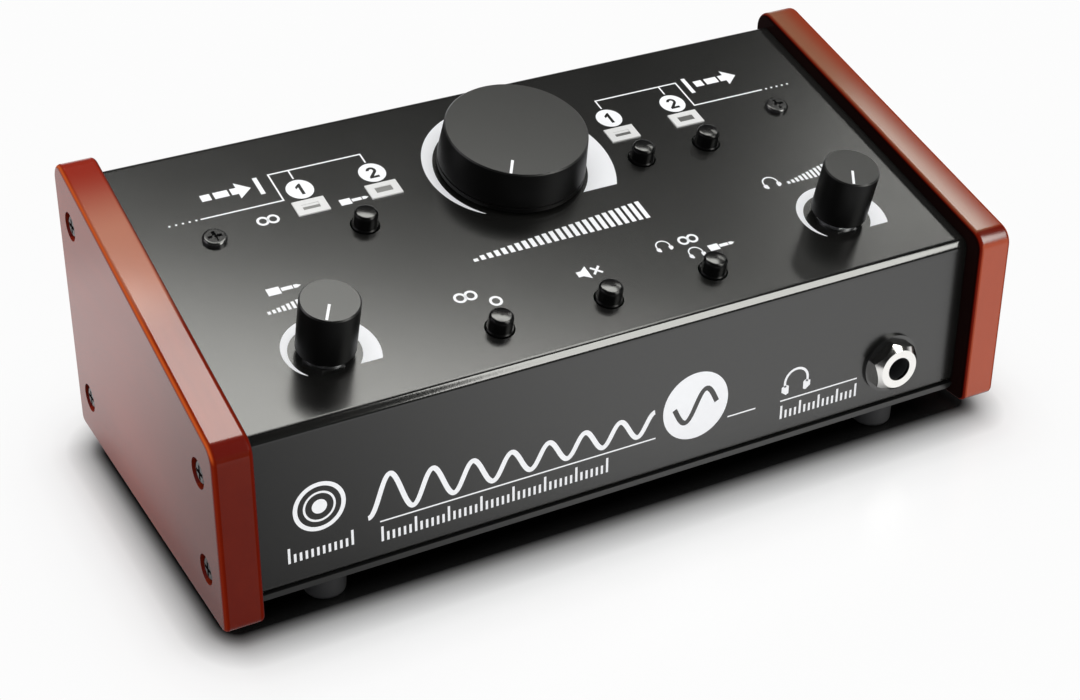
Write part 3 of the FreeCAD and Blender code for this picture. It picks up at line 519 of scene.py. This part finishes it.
def line(points, width):
    """The outline of a thick line."""
    left, right = both_edges(points, width)
    return left + right[::-1]


def ring(x, y, radius, width):
    """A ring as a disc with a hole: a list of two outlines."""
    return [disc(x, y, radius), disc(x, y, radius - width)]


def moved(outline, x, y, scale=1.0):
    """An outline scaled about its own zero and moved."""
    return [(x + px * scale, y + py * scale) for px, py in outline]


def loops_of(shape):
    """The loops of a shape, which is an outline, or an outline followed by its holes."""
    return [shape] if isinstance(shape[0][0], (int, float)) else shape


# %% From outlines to thin plates of ink
def add_strip(bm, points, width, low, high):
    """A thick open line as a closed strip of quads, which follows tight bends cleanly."""
    rows = [[bm.verts.new((x, y, z)) for x, y in side]
            for side in both_edges(points, width) for z in (low, high)]
    left_low, left_high, right_low, right_high = rows
    for near, far in ((left_high, right_high), (right_low, left_low),
                      (left_low, left_high), (right_high, right_low)):
        for i in range(len(points) - 1):
            bm.faces.new((near[i], near[i + 1], far[i + 1], far[i]))
    for end in (0, -1):
        bm.faces.new([row[end] for row in (left_low, left_high, right_high, right_low)])


def add_plate(bm, loops, low, high):
    """A closed plate from an outline and its holes: two flat faces and the walls between."""
    flat = [[Vector((x, y, 0)) for x, y in loop] for loop in loops]
    bottom, top = [[bm.verts.new((x, y, z)) for loop in loops for x, y in loop]
                   for z in (low, high)]
    for a, b, c in tessellate_polygon(flat):
        for layer in (bottom, top):
            bm.faces.new((layer[a], layer[b], layer[c]))
    start = 0
    for loop in loops:
        for i in range(len(loop)):
            here, following = start + i, start + (i + 1) % len(loop)
            bm.faces.new((bottom[here], bottom[following], top[following], top[here]))
        start += len(loop)


def print_plates(name, shapes, face, body="case", low=INK_BASE, high=INK_TOP, strips=()):
    """One mesh of closed plates, from thick lines and from shapes, laid on a face."""
    bm = bmesh.new()
    for points, width in strips:
        add_strip(bm, points, width, low, high)
    for shape in shapes:
        add_plate(bm, loops_of(shape), low, high)
    bmesh.ops.recalc_face_normals(bm, faces=bm.faces)
    bm.transform(face)
    add_piece(name, bm, body, "white_ink")


def add_piece(name, bm, body, material):
    """Makes a mesh a piece at the origin, with its finish, and lets it ride on a body."""
    mesh = bpy.data.meshes.new(name)
    bm.to_mesh(mesh)
    bm.free()
    piece = bpy.data.objects.new(name, mesh)
    bpy.context.scene.collection.objects.link(piece)
    mesh.materials.clear()
    mesh.materials.append(FINISHES[material])
    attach(piece, body)
    print(name, "faces:", len(mesh.polygons))


# %% [markdown]
# ## The dial crescents
#
# Round every knob lies a crescent that starts as a hair at the lowest setting and swells
# clockwise towards the highest, where it is cut straight. A curve drawn by hand would have to
# be drawn three times. Its outer radius follows one rule, so one function draws all three.

# %% Crescents
SMALL_KNOB = {
    "top": 16.6,
    "dial": {"inner": 8.8, "hair": 8.9, "full": 13.4, "start": 220, "end": -28.5, "cut": 6.3},
    "pointer": {"degrees": 239.5, "start": 1.4, "end": 6.6, "width": 0.65}}
LARGE_KNOB = {
    "top": 12.8,
    "dial": {"inner": 20.3, "hair": 20.4, "full": 27.9, "start": 225, "end": -33, "cut": 15.2},
    "pointer": {"degrees": 238, "start": 13.0, "end": 18.2, "width": 0.7}}
KNOBS = {"main": {"spot": (0.0, PANEL_LENGTH - 33.6), **LARGE_KNOB},
         "aux": {"spot": (-72.2, 20.0), **SMALL_KNOB},
         "phones": {"spot": (72.2, 20.0), **SMALL_KNOB}}


def crescent(spot, inner, hair, full, start, end, cut, power=0.78, steps=90):
    """A crescent, clockwise from start to end in degrees, whose far end is cut level."""
    outer = []
    for i in range(steps + 1):
        share = i / steps
        angle = math.radians(start + (end - start) * share)
        radius = hair + (full - hair) * share ** power
        x, y = radius * math.cos(angle), radius * math.sin(angle)
        outer.append((x, max(-cut, y) if share > 0.5 else y))
    inner_end = -math.degrees(math.asin(cut / inner))
    return moved(outer + arc(0, 0, inner, inner_end, start, steps), *spot)


crescents = [crescent(knob["spot"], **knob["dial"]) for knob in KNOBS.values()]
print_plates("dial_crescents", crescents, TOP)

# %% [markdown]
# ## Selector lines and numbers
#
# A bracket joins each pair of lights to its selector, and a numbered disc stands over every
# light. A font could give the numbers. Drawn as outlines, they can be left open in the disc,
# so that the black paint shows through them.

# %% Numbered discs
DIGIT_ONE = [(-0.9, 1.1), (0.35, 2.1), (0.75, 2.1), (0.75, -2.1), (-0.15, -2.1), (-0.15, 0.75),
             (-0.9, 0.2)]
DIGIT_TWO = (arc(0.0, 0.75, 1.35, 172, -38, 16)
             + [(-0.05, -1.3), (1.35, -1.3), (1.35, -2.1), (-1.35, -2.1), (-1.35, -1.5)]
             + arc(0.0, 0.75, 0.55, -38, 172, 12))
NEAR_LIGHT, FAR_LIGHT, NUMBER_ROW = 35, 55, 75.1


def numbered_disc(x, y, digit, radius, scale=1.0):
    """A disc with a number left open in it."""
    return [disc(x, y, radius), moved(digit, x, y, scale)]


numbers = [numbered_disc(x, NUMBER_ROW, digit, 3.6) for x, digit in zip(
    (-FAR_LIGHT, -NEAR_LIGHT, NEAR_LIGHT, FAR_LIGHT), (DIGIT_ONE, DIGIT_TWO) * 2)]
print_plates("light_numbers", numbers, TOP)

# %% Selector brackets
LINE = 0.42
BRACKET_FOOT, BRACKET_HEAD, BRACKET_ENDS = 72.5, 82.8, 79.3
FOOT_END, FOOT_TURN = 82.5, 60.5
brackets = []
for side in (-1, 1):
    path = [(FOOT_END, BRACKET_FOOT), (FOOT_TURN, BRACKET_FOOT), (FOOT_TURN, BRACKET_HEAD),
            (NEAR_LIGHT, BRACKET_HEAD), (NEAR_LIGHT, BRACKET_ENDS)]
    branch = [(FAR_LIGHT, BRACKET_HEAD - LINE / 2), (FAR_LIGHT, BRACKET_ENDS)]
    brackets += [line([(side * x, y) for x, y in points], LINE) for points in (path, branch)]
print_plates("selector_brackets", brackets, TOP)

# %% [markdown]
# ## Rows of dots and bars
#
# The row of dots at a bracket's end, the rising bars of a volume scale and the lights' small
# windows all repeat one shape along a line. Geometry Nodes do that best: a mesh line gives
# the places, one bar or dot is set on each, and a rule changes its height along the row.
# The result is realized and turned into a plain mesh before it joins the case.


# %% What both kinds of row share
def geometry_tree(name, sockets):
    """A Geometry Nodes tree with named inputs; returns it, its inputs and its output."""
    tree = bpy.data.node_groups.new(name, "GeometryNodeTree")
    tree.interface.new_socket("Geometry", in_out="INPUT", socket_type="NodeSocketGeometry")
    for label, kind, value in sockets:
        socket = tree.interface.new_socket(label, in_out="INPUT",
                                           socket_type="NodeSocket" + kind)
        if value is not None:
            socket.default_value = value
    tree.interface.new_socket("Geometry", in_out="OUTPUT", socket_type="NodeSocketGeometry")
    inside = tree.nodes.new("NodeGroupInput").outputs
    return tree, inside, tree.nodes.new("NodeGroupOutput").inputs[0]


def combine(tree, *values):
    """A vector from three numbers or sockets."""
    node = tree.nodes.new("ShaderNodeCombineXYZ")
    for socket, value in zip(node.inputs, values):
        feed(tree, socket, value)
    return node.outputs[0]


def stand_in_row(tree, inside, output, shape, scale, middle_y):
    """Sets a shape on each place of a line, lifts it on to the face and paints it."""
    points, stand, lift, realize, paint = [
        tree.nodes.new("GeometryNode" + kind) for kind in
        ("MeshLine", "InstanceOnPoints", "TranslateInstances", "RealizeInstances", "SetMaterial")]
    lift.inputs["Local Space"].default_value = False
    middle_z = maths(tree, "MULTIPLY_ADD", inside["Thickness"], 0.5, inside["Base"])
    for source, socket in (
            (inside["Count"], points.inputs["Count"]),
            (combine(tree, inside["Pitch"], 0.0, 0.0), points.inputs["Offset"]),
            (points.outputs[0], stand.inputs["Points"]),
            (shape, stand.inputs["Instance"]),
            (scale, stand.inputs["Scale"]),
            (stand.outputs[0], lift.inputs["Instances"]),
            (combine(tree, 0.0, middle_y, middle_z), lift.inputs["Translation"]),
            (lift.outputs[0], realize.inputs[0]),
            (realize.outputs[0], paint.inputs["Geometry"]),
            (inside["Material"], paint.inputs["Material"]),
            (paint.outputs[0], output)):
        tree.links.new(source, socket)


SHARED_SOCKETS = [("Thickness", "Float", INK_TOP - INK_BASE), ("Base", "Float", INK_BASE),
                  ("Material", "Material", None)]

# %% A tree for a row of bars
NEVER = 1000
bars, inside, output = geometry_tree("row_of_bars", [
    ("Count", "Int", 5), ("Pitch", "Float", 2.0), ("Width", "Float", 1.0),
    ("First Height", "Float", 1.0), ("Last Height", "Float", 1.0),
    ("Long Every", "Int", NEVER), ("Long Height", "Float", 1.0)] + SHARED_SOCKETS)
index = bars.nodes.new("GeometryNodeInputIndex").outputs[0]
gaps = maths(bars, "MAXIMUM", maths(bars, "SUBTRACT", inside["Count"], 1.0), 1.0)
share = maths(bars, "DIVIDE", index, gaps)
rise = maths(bars, "SUBTRACT", inside["Last Height"], inside["First Height"])
height = maths(bars, "MULTIPLY_ADD", share, rise, inside["First Height"])
is_long = maths(bars, "LESS_THAN", maths(bars, "MODULO", index, inside["Long Every"]), 0.5)
extra = maths(bars, "MULTIPLY", is_long, maths(bars, "SUBTRACT", inside["Long Height"], height))
height = maths(bars, "ADD", height, extra)
block = bars.nodes.new("GeometryNodeMeshCube").outputs["Mesh"]
stand_in_row(bars, inside, output, block,
             scale=combine(bars, inside["Width"], height, inside["Thickness"]),
             middle_y=maths(bars, "MULTIPLY", height, 0.5))
print("tree:", bars.name, "nodes:", len(bars.nodes))

# %% A tree for a row of dots
DOT_SIDES = 16
dots, inside, output = geometry_tree("row_of_dots", [
    ("Count", "Int", 5), ("Pitch", "Float", 1.75), ("Radius", "Float", 0.3)] + SHARED_SOCKETS)
pill = dots.nodes.new("GeometryNodeMeshCylinder")
pill.inputs["Vertices"].default_value = DOT_SIDES
dots.links.new(inside["Radius"], pill.inputs["Radius"])
dots.links.new(inside["Thickness"], pill.inputs["Depth"])
stand_in_row(dots, inside, output, pill.outputs["Mesh"],
             scale=combine(dots, 1.0, 1.0, 1.0), middle_y=0.0)
print("tree:", dots.name, "nodes:", len(dots.nodes))


# %% Grow a row and lay it on a face
def grow(tree, name, rows, face, body="case", material="white_ink"):
    """Grows one row for each set of sizes, joins them and lays them on a face."""
    sockets = {item.name: item.identifier for item in tree.interface.items_tree
               if item.item_type == "SOCKET" and item.in_out == "INPUT"}
    bm = bmesh.new()
    for (x, y), sizes in rows:
        seed_mesh = bpy.data.meshes.new(name + "_seed")
        seed = bpy.data.objects.new(name + "_seed", seed_mesh)
        bpy.context.scene.collection.objects.link(seed)
        modifier = seed.modifiers.new("grow", "NODES")
        modifier.node_group = tree
        for label, value in dict(sizes, Material=FINISHES[material]).items():
            modifier[sockets[label]] = value
        evaluated = seed.evaluated_get(bpy.context.evaluated_depsgraph_get())
        grown = bpy.data.meshes.new_from_object(evaluated)
        grown.transform(face @ Matrix.Translation((x, y, 0)))
        bm.from_mesh(grown)
        bpy.data.objects.remove(seed)
        for used in (seed_mesh, grown):
            bpy.data.meshes.remove(used)
    add_piece(name, bm, body, material)


def bar_sizes(count, pitch, width, first, last):
    """The sizes of a row of bars that rise from the first to the last."""
    return {"Count": count, "Pitch": pitch, "Width": width,
            "First Height": first, "Last Height": last}


DOT_SIZES = {"Count": 5, "Pitch": 1.75, "Radius": 0.3}
grow(dots, "bracket_dots", [((x, BRACKET_FOOT), DOT_SIZES) for x in (-90.6, 83.9)], TOP)
grow(bars, "volume_scales", [
    ((-24.6, 36.0), bar_sizes(25, 2.05, 1.25, 1.4, 6.6)),
    ((-79.4, 35.8), bar_sizes(11, 1.3, 0.8, 0.9, 3.8)),
    ((67.6, 35.4), bar_sizes(11, 1.4, 0.85, 0.9, 4.4)),
], TOP)

# %% [markdown]
# ## Pictograms
#
# Small signs tell what each control does: two linked rings for stereo, one ring for mono, a
# struck-out speaker for mute, headphones, and a plug. They are plain international signs. No
# font has them all in one weight, so they are built from the same lines and rings.


# %% The signs, each about three units high round its own centre
def box(left, low, right, high):
    """The outline of a rectangle."""
    return [(left, low), (right, low), (right, high), (left, high)]


CUP = [(1.0, -1.5), (1.35, -1.65), (1.95, -1.2), (1.95, -0.55), (1.3, -0.35), (1.0, -0.55)]
HORN = [(-2.2, -0.6), (-1.3, -0.6), (-0.1, -1.5), (-0.1, 1.5), (-1.3, 0.6), (-2.2, 0.6)]
STROKES = ([(0.6, -0.8), (2.2, 0.8)], [(0.6, 0.8), (1.3, 0.1)], [(1.5, -0.1), (2.2, -0.8)])
ARROW = [box(-3.6, -0.55, -2.4, 0.55), box(-2.0, -0.55, -0.2, 0.55),
         [(0.1, -0.55), (0.9, -0.55), (0.9, -1.4), (2.6, 0.0), (0.9, 1.4), (0.9, 0.55),
          (0.1, 0.55)]]
SIGNS = {
    "ring": [ring(0, 0, 1.25, 0.5)],
    "rings": [ring(-0.75, 0, 1.25, 0.5), ring(1.35, 0, 1.25, 0.5)],
    "headphones": [line(arc(0, -0.1, 1.55, 200, -20, 24), 0.3), [(-x, y) for x, y in CUP], CUP],
    "mute": [HORN] + [line(ends, 0.42) for ends in STROKES],
    "plug": [box(-3.2, -0.85, -0.9, 0.85), box(-0.7, -0.4, 1.3, 0.4),
             [(1.5, -0.4), (2.1, -0.4), (2.8, 0.0), (2.1, 0.4), (1.5, 0.4)]],
    "arrow to bar": ARROW + [box(3.32, -1.5, 3.88, 1.5)],
    "arrow from bar": ARROW + [box(-4.88, -1.5, -4.32, 1.5)],
}


def sign(name, x, y, scale):
    """The shapes of a sign, scaled and moved to their place."""
    return [[moved(loop, x, y, scale) for loop in loops_of(shape)] for shape in SIGNS[name]]


print("signs:", list(SIGNS))

# %% Signs on the sloped top
TOP_SIGNS = [
    # sign, place across, place up the panel, size
    ("rings", -33.4, 25.6, 1.35), ("ring", -26.6, 21.8, 1.35), ("mute", 0.0, 23.2, 1.5),
    ("headphones", 22.6, 25.4, 1.2), ("rings", 29.6, 25.4, 1.25),
    ("headphones", 29.4, 20.6, 1.2), ("plug", 37.4, 20.6, 1.25),
    ("plug", -72.6, 42.8, 1.45), ("headphones", 62.8, 37.6, 1.35),
    ("rings", -67.4, 66.9, 1.3), ("plug", -43.4, 66.9, 1.3),
    ("arrow to bar", -72.0, 79.6, 2.15), ("arrow from bar", 73.2, 80.6, 2.15),
]
print_plates("top_signs", [shape for row in TOP_SIGNS for shape in sign(*row)], TOP)

# %% [markdown]
# ## Front panel print
#
# The front carries a round mark, a long flowing line over a thin rule, a solid disc, and the
# headphone sign beside its socket. Where words could stand, this unit has a wave and plain
# scale ticks: they say sound and level in no language. The wave bends tightly, so it is not
# one outline but a strip of small quads, which never folds over itself.


# %% The wave, the rules and the marks
def wave(start, end, base, first_height, last_height, turns, decay=3.2, squeeze=1.06, steps=300):
    """Points along a wave whose crests sink, and crowd a little, from start to end."""
    points = []
    for i in range(steps + 1):
        share = i / steps
        swing = last_height + (first_height - last_height) * (1 - share) ** decay
        rise = swing * (0.5 - 0.5 * math.cos(math.tau * turns * share ** squeeze))
        points.append((start + (end - start) * share, base + rise))
    return points


ROUND_MARK, BIG_DISC, RULE = (-83.5, 21.6), (18.2, 18.4), 0.38
sine = [(x / 10, 4.2 * math.sin(x / 10 * math.tau / 12)) for x in range(-62, 63, 2)]
front_shapes = [[disc(*BIG_DISC, 9.5), moved(line(sine, 1.4), *BIG_DISC)]]
for start, end, y in ((-68.5, 6.7, 12.3), (27.9, 36.3, 12.2), (43.9, 67.8, 12.0)):
    front_shapes.append(line([(start, y), (end, y)], RULE))
front_shapes += [ring(*ROUND_MARK, 6.6, 1.1), ring(*ROUND_MARK, 4.1, 0.55), disc(*ROUND_MARK, 1.9)]
front_shapes += sign("headphones", 48.5, 17.2, 2.25)
long_wave = wave(-71.5, 6.3, base=14.2, first_height=12.2, last_height=5.8, turns=7.5)
print_plates("front_print", front_shapes, FRONT, strips=[(long_wave, 1.3)])

# %% Scale ticks under the rules
TICK_PITCH, TICK_WIDTH = 1.45, 0.62


def ticks(count, height, long_every, long_height):
    """The sizes of a row of level ticks with a long one now and then."""
    level = bar_sizes(count, TICK_PITCH, TICK_WIDTH, height, height)
    return {**level, "Long Every": long_every, "Long Height": long_height}


grow(bars, "front_scales", [
    ((-68.0, 6.6), ticks(43, 2.4, 6, 4.2)),
    ((44.4, 6.6), ticks(17, 2.3, 4, 3.9)),
    ((-91.6, 8.2), ticks(12, 2.3, 11, 4.2)),
], FRONT)

# %% [markdown]
# ## Rear panel print
#
# The sockets on the back need to be told apart by feel and by sight, so each pair has a
# bracket and a number or a sign above it. The same drawing tools serve here; only the matrix
# differs. On the rear face, left and right are swapped.

# %% Rear brackets, numbers and signs
PAIRS, PAIR_REACH = (-70.0, -30.0, 10.0), 10
PAIR_ENDS, PAIR_HEAD, PAIR_NUMBERS = 23.2, 24.8, 29.0
POWER_X, POWER_LINE = 70.0, 0.5
rear_shapes = []
for x in PAIRS:
    left, right = x - PAIR_REACH, x + PAIR_REACH
    rear_shapes.append(line([(left, PAIR_ENDS), (left, PAIR_HEAD), (right, PAIR_HEAD),
                             (right, PAIR_ENDS)], LINE))
rear_shapes += sign("rings", -70.3, 28.4, 1.1) + sign("plug", 46.2, 25.4, 1.0)
for x, digit in zip(PAIRS[1:], (DIGIT_ONE, DIGIT_TWO)):
    rear_shapes.append(numbered_disc(x, PAIR_NUMBERS, digit, 3.2, scale=0.9))
rear_shapes += [line(arc(POWER_X, 25.2, 1.7, 130, 410, 30), POWER_LINE),
                line([(POWER_X, 25.4), (POWER_X, 27.6)], POWER_LINE)]
print_plates("rear_print", rear_shapes, REAR)

# %% [markdown]
# ## Pointer lines and light windows
#
# Each knob has a white line filled into its top, which points at the lowest setting when the
# unit is at rest. As part of the case's print it would stay behind when the knob turns, so it
# is a piece of its own that rides on the knob's body. The lights show through a small grey
# window inside the white frame.


# %% Pointers
def pointer(name, spot, top, degrees, start, end, width):
    """A line on a knob's top, from one distance off its axis to another."""
    out = Vector((math.cos(math.radians(degrees)), math.sin(math.radians(degrees))))
    ends = [tuple(Vector(spot) + out * reach) for reach in (start, end)]
    print_plates(name + "_pointer", [line(ends, width)], TOP, name + "_volume_knob",
                 low=top + INK_BASE, high=top + INK_TOP)


for name, knob in KNOBS.items():
    pointer(name, knob["spot"], knob["top"], **knob["pointer"])

# %% Grey windows in the light frames
WINDOW_ROW, PANE_WIDTH, PANE_HEIGHT = PANEL_LENGTH - 31.2, 5.0, 1.8
PANES = bar_sizes(2, float(FAR_LIGHT - NEAR_LIGHT), PANE_WIDTH, PANE_HEIGHT, PANE_HEIGHT)
PANES.update({"Thickness": 0.05, "Base": 0.255})
for name, x, grey in (("left_light_windows", -FAR_LIGHT, "window_grey"),
                      ("right_light_windows", NEAR_LIGHT, "window_dark_grey")):
    grow(bars, name, [((x, WINDOW_ROW - PANE_HEIGHT / 2), PANES)], TOP, material=grey)

# %% [markdown]
# ## Studio floor
#
# The floor is pale and smooth. Lit from all sides it would turn grey, so what the camera sees
# of it is plain white, apart from the object's shadow, which is graded by the distance from
# the case and deepened by painted shadow: the floor's own colour darkens towards the case and
# is black under it. What gloss and glass see of it is darker in front, on the left and far off,
# where a
# studio has dark cards and a dark room: without them the lacquer and paint would look milky.

# %% Floor: how far a spot lies from the case
bpy.ops.mesh.primitive_plane_add(size=12.0, location=(0, 0, 0))
floor = bpy.context.active_object
floor.name = "floor"
floor_paint = bpy.data.materials.new("floor_acrylic")
floor_paint.use_nodes = True
floor.data.materials.append(floor_paint)
tree = floor_paint.node_tree
tree.nodes.clear()
spot = split(tree, "Object")
squares = []
for axis, reach, steepness in (("X", 0.1035, 1.4), ("Y", 0.040, 1.0)):
    past = maths(tree, "SUBTRACT", maths(tree, "ABSOLUTE", spot[axis]), reach)
    beyond = maths(tree, "MULTIPLY", steepness, maths(tree, "MAXIMUM", past, 0.0))
    squares.append(maths(tree, "MULTIPLY", beyond, beyond))
distance = maths(tree, "SQRT", maths(tree, "ADD", *squares))
print("floor nodes for the distance:", len(tree.nodes))


# %% Floor: its shadow, deepened by painted shadow, and the dark cards that only gloss sees
def grey_ramp(tree, value, *pairs):
    """A grey ramp through pairs of a value and a level; returns its colour socket."""
    reach = pairs[-1][0]
    stops = [(at / reach, (level, level, level)) for at, level in pairs]
    return colour_ramp(tree, maths(tree, "DIVIDE", value, reach), *stops)


def ray_masks(tree):
    """Two masks: one for the camera's own rays, one for those by way of gloss or glass."""
    path = tree.nodes.new("ShaderNodeLightPath").outputs
    return path["Is Camera Ray"], maths(tree, "MAXIMUM", path["Is Glossy Ray"],
                                        path["Is Transmission Ray"])


by_camera, mirrored = ray_masks(tree)
# painted shadow: the floor's own colour darkens towards the case and is black beneath it
painted_shadow_level = grey_ramp(tree, distance, (0.0, 0.0), (0.006, 0.01), (0.012, 0.50), (0.020, 0.90))
whiteness = grey_ramp(tree, distance, (0.0, 0.0), (0.009, 0.0), (0.018, 0.22), (0.026, 0.66),
                      (0.036, 0.88), (0.050, 0.97), (0.070, 1.0))
front_card = maths(tree, "MULTIPLY", ramp_value(tree, spot["Y"], -0.060, -0.046, 1.0, 0.0),
                   ramp_value(tree, spot["X"], -0.12, 0.04, 0.72, 0.0))
left_levels = maths(tree, "ADD", ramp_value(tree, spot["Y"], -0.02, 0.11, 0.62, 0.10),
                    ramp_value(tree, spot["Y"], 0.125, 0.165, 0.0, 0.24))
left_card = maths(tree, "MULTIPLY", ramp_value(tree, spot["X"], -0.115, -0.108, 1.0, 0.0),
                  left_levels)
dark_room = ramp_value(tree, spot["Y"], -0.45, -0.22, 0.92, 0.0)
cards = maths(tree, "MAXIMUM", maths(tree, "MAXIMUM", front_card, left_card), dark_room)
cards = maths(tree, "MULTIPLY", cards, mirrored)
white_beside = maths(tree, "MULTIPLY", mirrored,
                     ramp_value(tree, spot["X"], -0.122, -0.110, 0.90, 0.0))
seen = maths(tree, "MAXIMUM", by_camera, mirrored)
white_share = maths(tree, "MULTIPLY", seen, maths(tree, "MAXIMUM", whiteness, white_beside))
print("floor nodes for its levels:", len(tree.nodes))

# %% Floor: its shaders in layers
GLOSS_SHARE = 0.03


def blend(tree, factor, under, over):
    """A mix of two shader outputs by a number or a socket."""
    mix = tree.nodes.new("ShaderNodeMixShader")
    for socket, value in zip(mix.inputs, (factor, under, over)):
        feed(tree, socket, value)
    return mix.outputs[0]


def surface(tree, kind, **values):
    """A plain shader with its own sockets set; returns its output."""
    node = tree.nodes.new(kind)
    set_sockets(node, values)
    return node.outputs[0]


matt = surface(tree, "ShaderNodeBsdfDiffuse")
tree.links.new(painted_shadow_level, matt.node.inputs["Color"])
white = surface(tree, "ShaderNodeEmission")
black = surface(tree, "ShaderNodeBsdfDiffuse", Color=(0.0, 0.0, 0.0, 1.0))
gloss = surface(tree, "ShaderNodeBsdfAnisotropic", Roughness=0.26, Color=(0.95, 0.95, 0.95, 1.0))
carded = blend(tree, cards, blend(tree, white_share, matt, white), black)
output = tree.nodes.new("ShaderNodeOutputMaterial")
tree.links.new(blend(tree, GLOSS_SHARE, carded, gloss), output.inputs["Surface"])
print("floor nodes:", len(tree.nodes))

# %% [markdown]
# ## Surround and lamps
#
# The surround is white to the camera and darker for reflections from above, which keeps a
# black object black. The top of the case is satin, so it shows the overhead lamp as a broad
# glow that fades towards the back; a lamp in front, to the right, draws the bright line along
# the fold. An image of a studio could light it all, but lamps with a place and a size can be
# moved until each highlight lies where it belongs.

# %% White surround
FILL = 1.12  # the strength for matt surfaces
world = bpy.data.worlds.new("studio")
bpy.context.scene.world = world
world.use_nodes = True
tree = world.node_tree
tree.nodes.clear()
direction = split(tree, "Generated")
darker_above = ramp_value(tree, direction["Z"], 0.05, 0.40, 1.0, 0.02)
darker_in_front = ramp_value(tree, direction["Y"], -0.50, -0.10, 0.06, 1.0)
reflected = maths(tree, "MULTIPLY", darker_above, darker_in_front)
by_camera, mirrored = ray_masks(tree)
surround = surface(tree, "ShaderNodeBackground", Color=(1.0, 1.0, 1.0, 1.0))
unseen = mixed(tree, "FLOAT", mirrored, FILL, reflected)
strength = mixed(tree, "FLOAT", by_camera, unseen, 1.0)
tree.links.new(strength, surround.node.inputs["Strength"])
output = tree.nodes.new("ShaderNodeOutputWorld")
tree.links.new(surround, output.inputs["Surface"])
print("surround nodes:", len(tree.nodes))

# %% Lamps
WARM, COOL = (1.0, 1.0, 0.95), (1.0, 0.97, 1.02)
LAMPS = [
    # name, place, aim, width, height, brightness per area, colour, whether it lights matt paint
    ("overhead_softbox", (0.074, 0.146, 0.534), (0, 0, 0.05), 0.451, 0.139, 6.85, WARM, False),
    ("side_softbox", (1.323, 0.691, 1.600), (0, 0, 0.05), 0.318, 0.120, 7.5, WARM, True),
    ("left_softbox", (-0.75, 0.15, 0.45), (0, 0, 0.04), 0.60, 0.50, 1.3, COOL, False),
    ("front_wall", (0.660, -0.794, 0.765), (0.660, 0, 0.05), 0.520, 1.335, 8.5, WARM, False),
]
for name, place, aim, width, height, radiance, colour, lights_matt in LAMPS:
    lamp = bpy.data.lights.new(name, "AREA")
    lamp.shape = "RECTANGLE"
    lamp.color = colour
    lamp.size, lamp.size_y = width, height
    lamp.energy = radiance * width * height * math.pi
    holder = bpy.data.objects.new(name, lamp)
    bpy.context.scene.collection.objects.link(holder)
    holder.location = place
    holder.visible_camera = False
    holder.visible_diffuse = lights_matt
    direction = Vector(aim) - Vector(place)
    holder.rotation_euler = direction.to_track_quat("-Z", "Y").to_euler()
    print(name, "power in W: %.1f" % lamp.energy)

# %% [markdown]
# ## Camera
#
# The camera stands close by, above the left front corner, so the near cheek looks large. It
# could be aimed with a Track To constraint, but that can't give the slight roll of this view.
# Its own right and up directions are stated instead, and a lens shift sets the framing.

# %% Camera
FRAME_WIDTH = 1080
SHIFT_X, SHIFT_Y = 80, -70  # in the frame's pixels
EYE = Vector((-0.2297806, -0.4111755, 0.3019094))
RIGHT = Vector((0.8901961694, -0.4553913230, -0.0130200923))
UP = Vector((0.2288276260, 0.4222328147, 0.8771301886))
camera_data = bpy.data.cameras.new("camera")
camera = bpy.data.objects.new("camera", camera_data)
bpy.context.scene.collection.objects.link(camera)
camera_data.sensor_width = 36.0
camera_data.lens = 69.2468
camera_data.shift_x, camera_data.shift_y = SHIFT_X / FRAME_WIDTH, SHIFT_Y / FRAME_WIDTH
turn = Matrix((RIGHT, UP, RIGHT.cross(UP))).transposed().to_4x4()
camera.matrix_world = Matrix.Translation(EYE) @ turn
bpy.context.scene.camera = camera
bpy.context.scene.view_settings.view_transform = "Standard"
print("lens in mm: %.2f" % camera_data.lens)
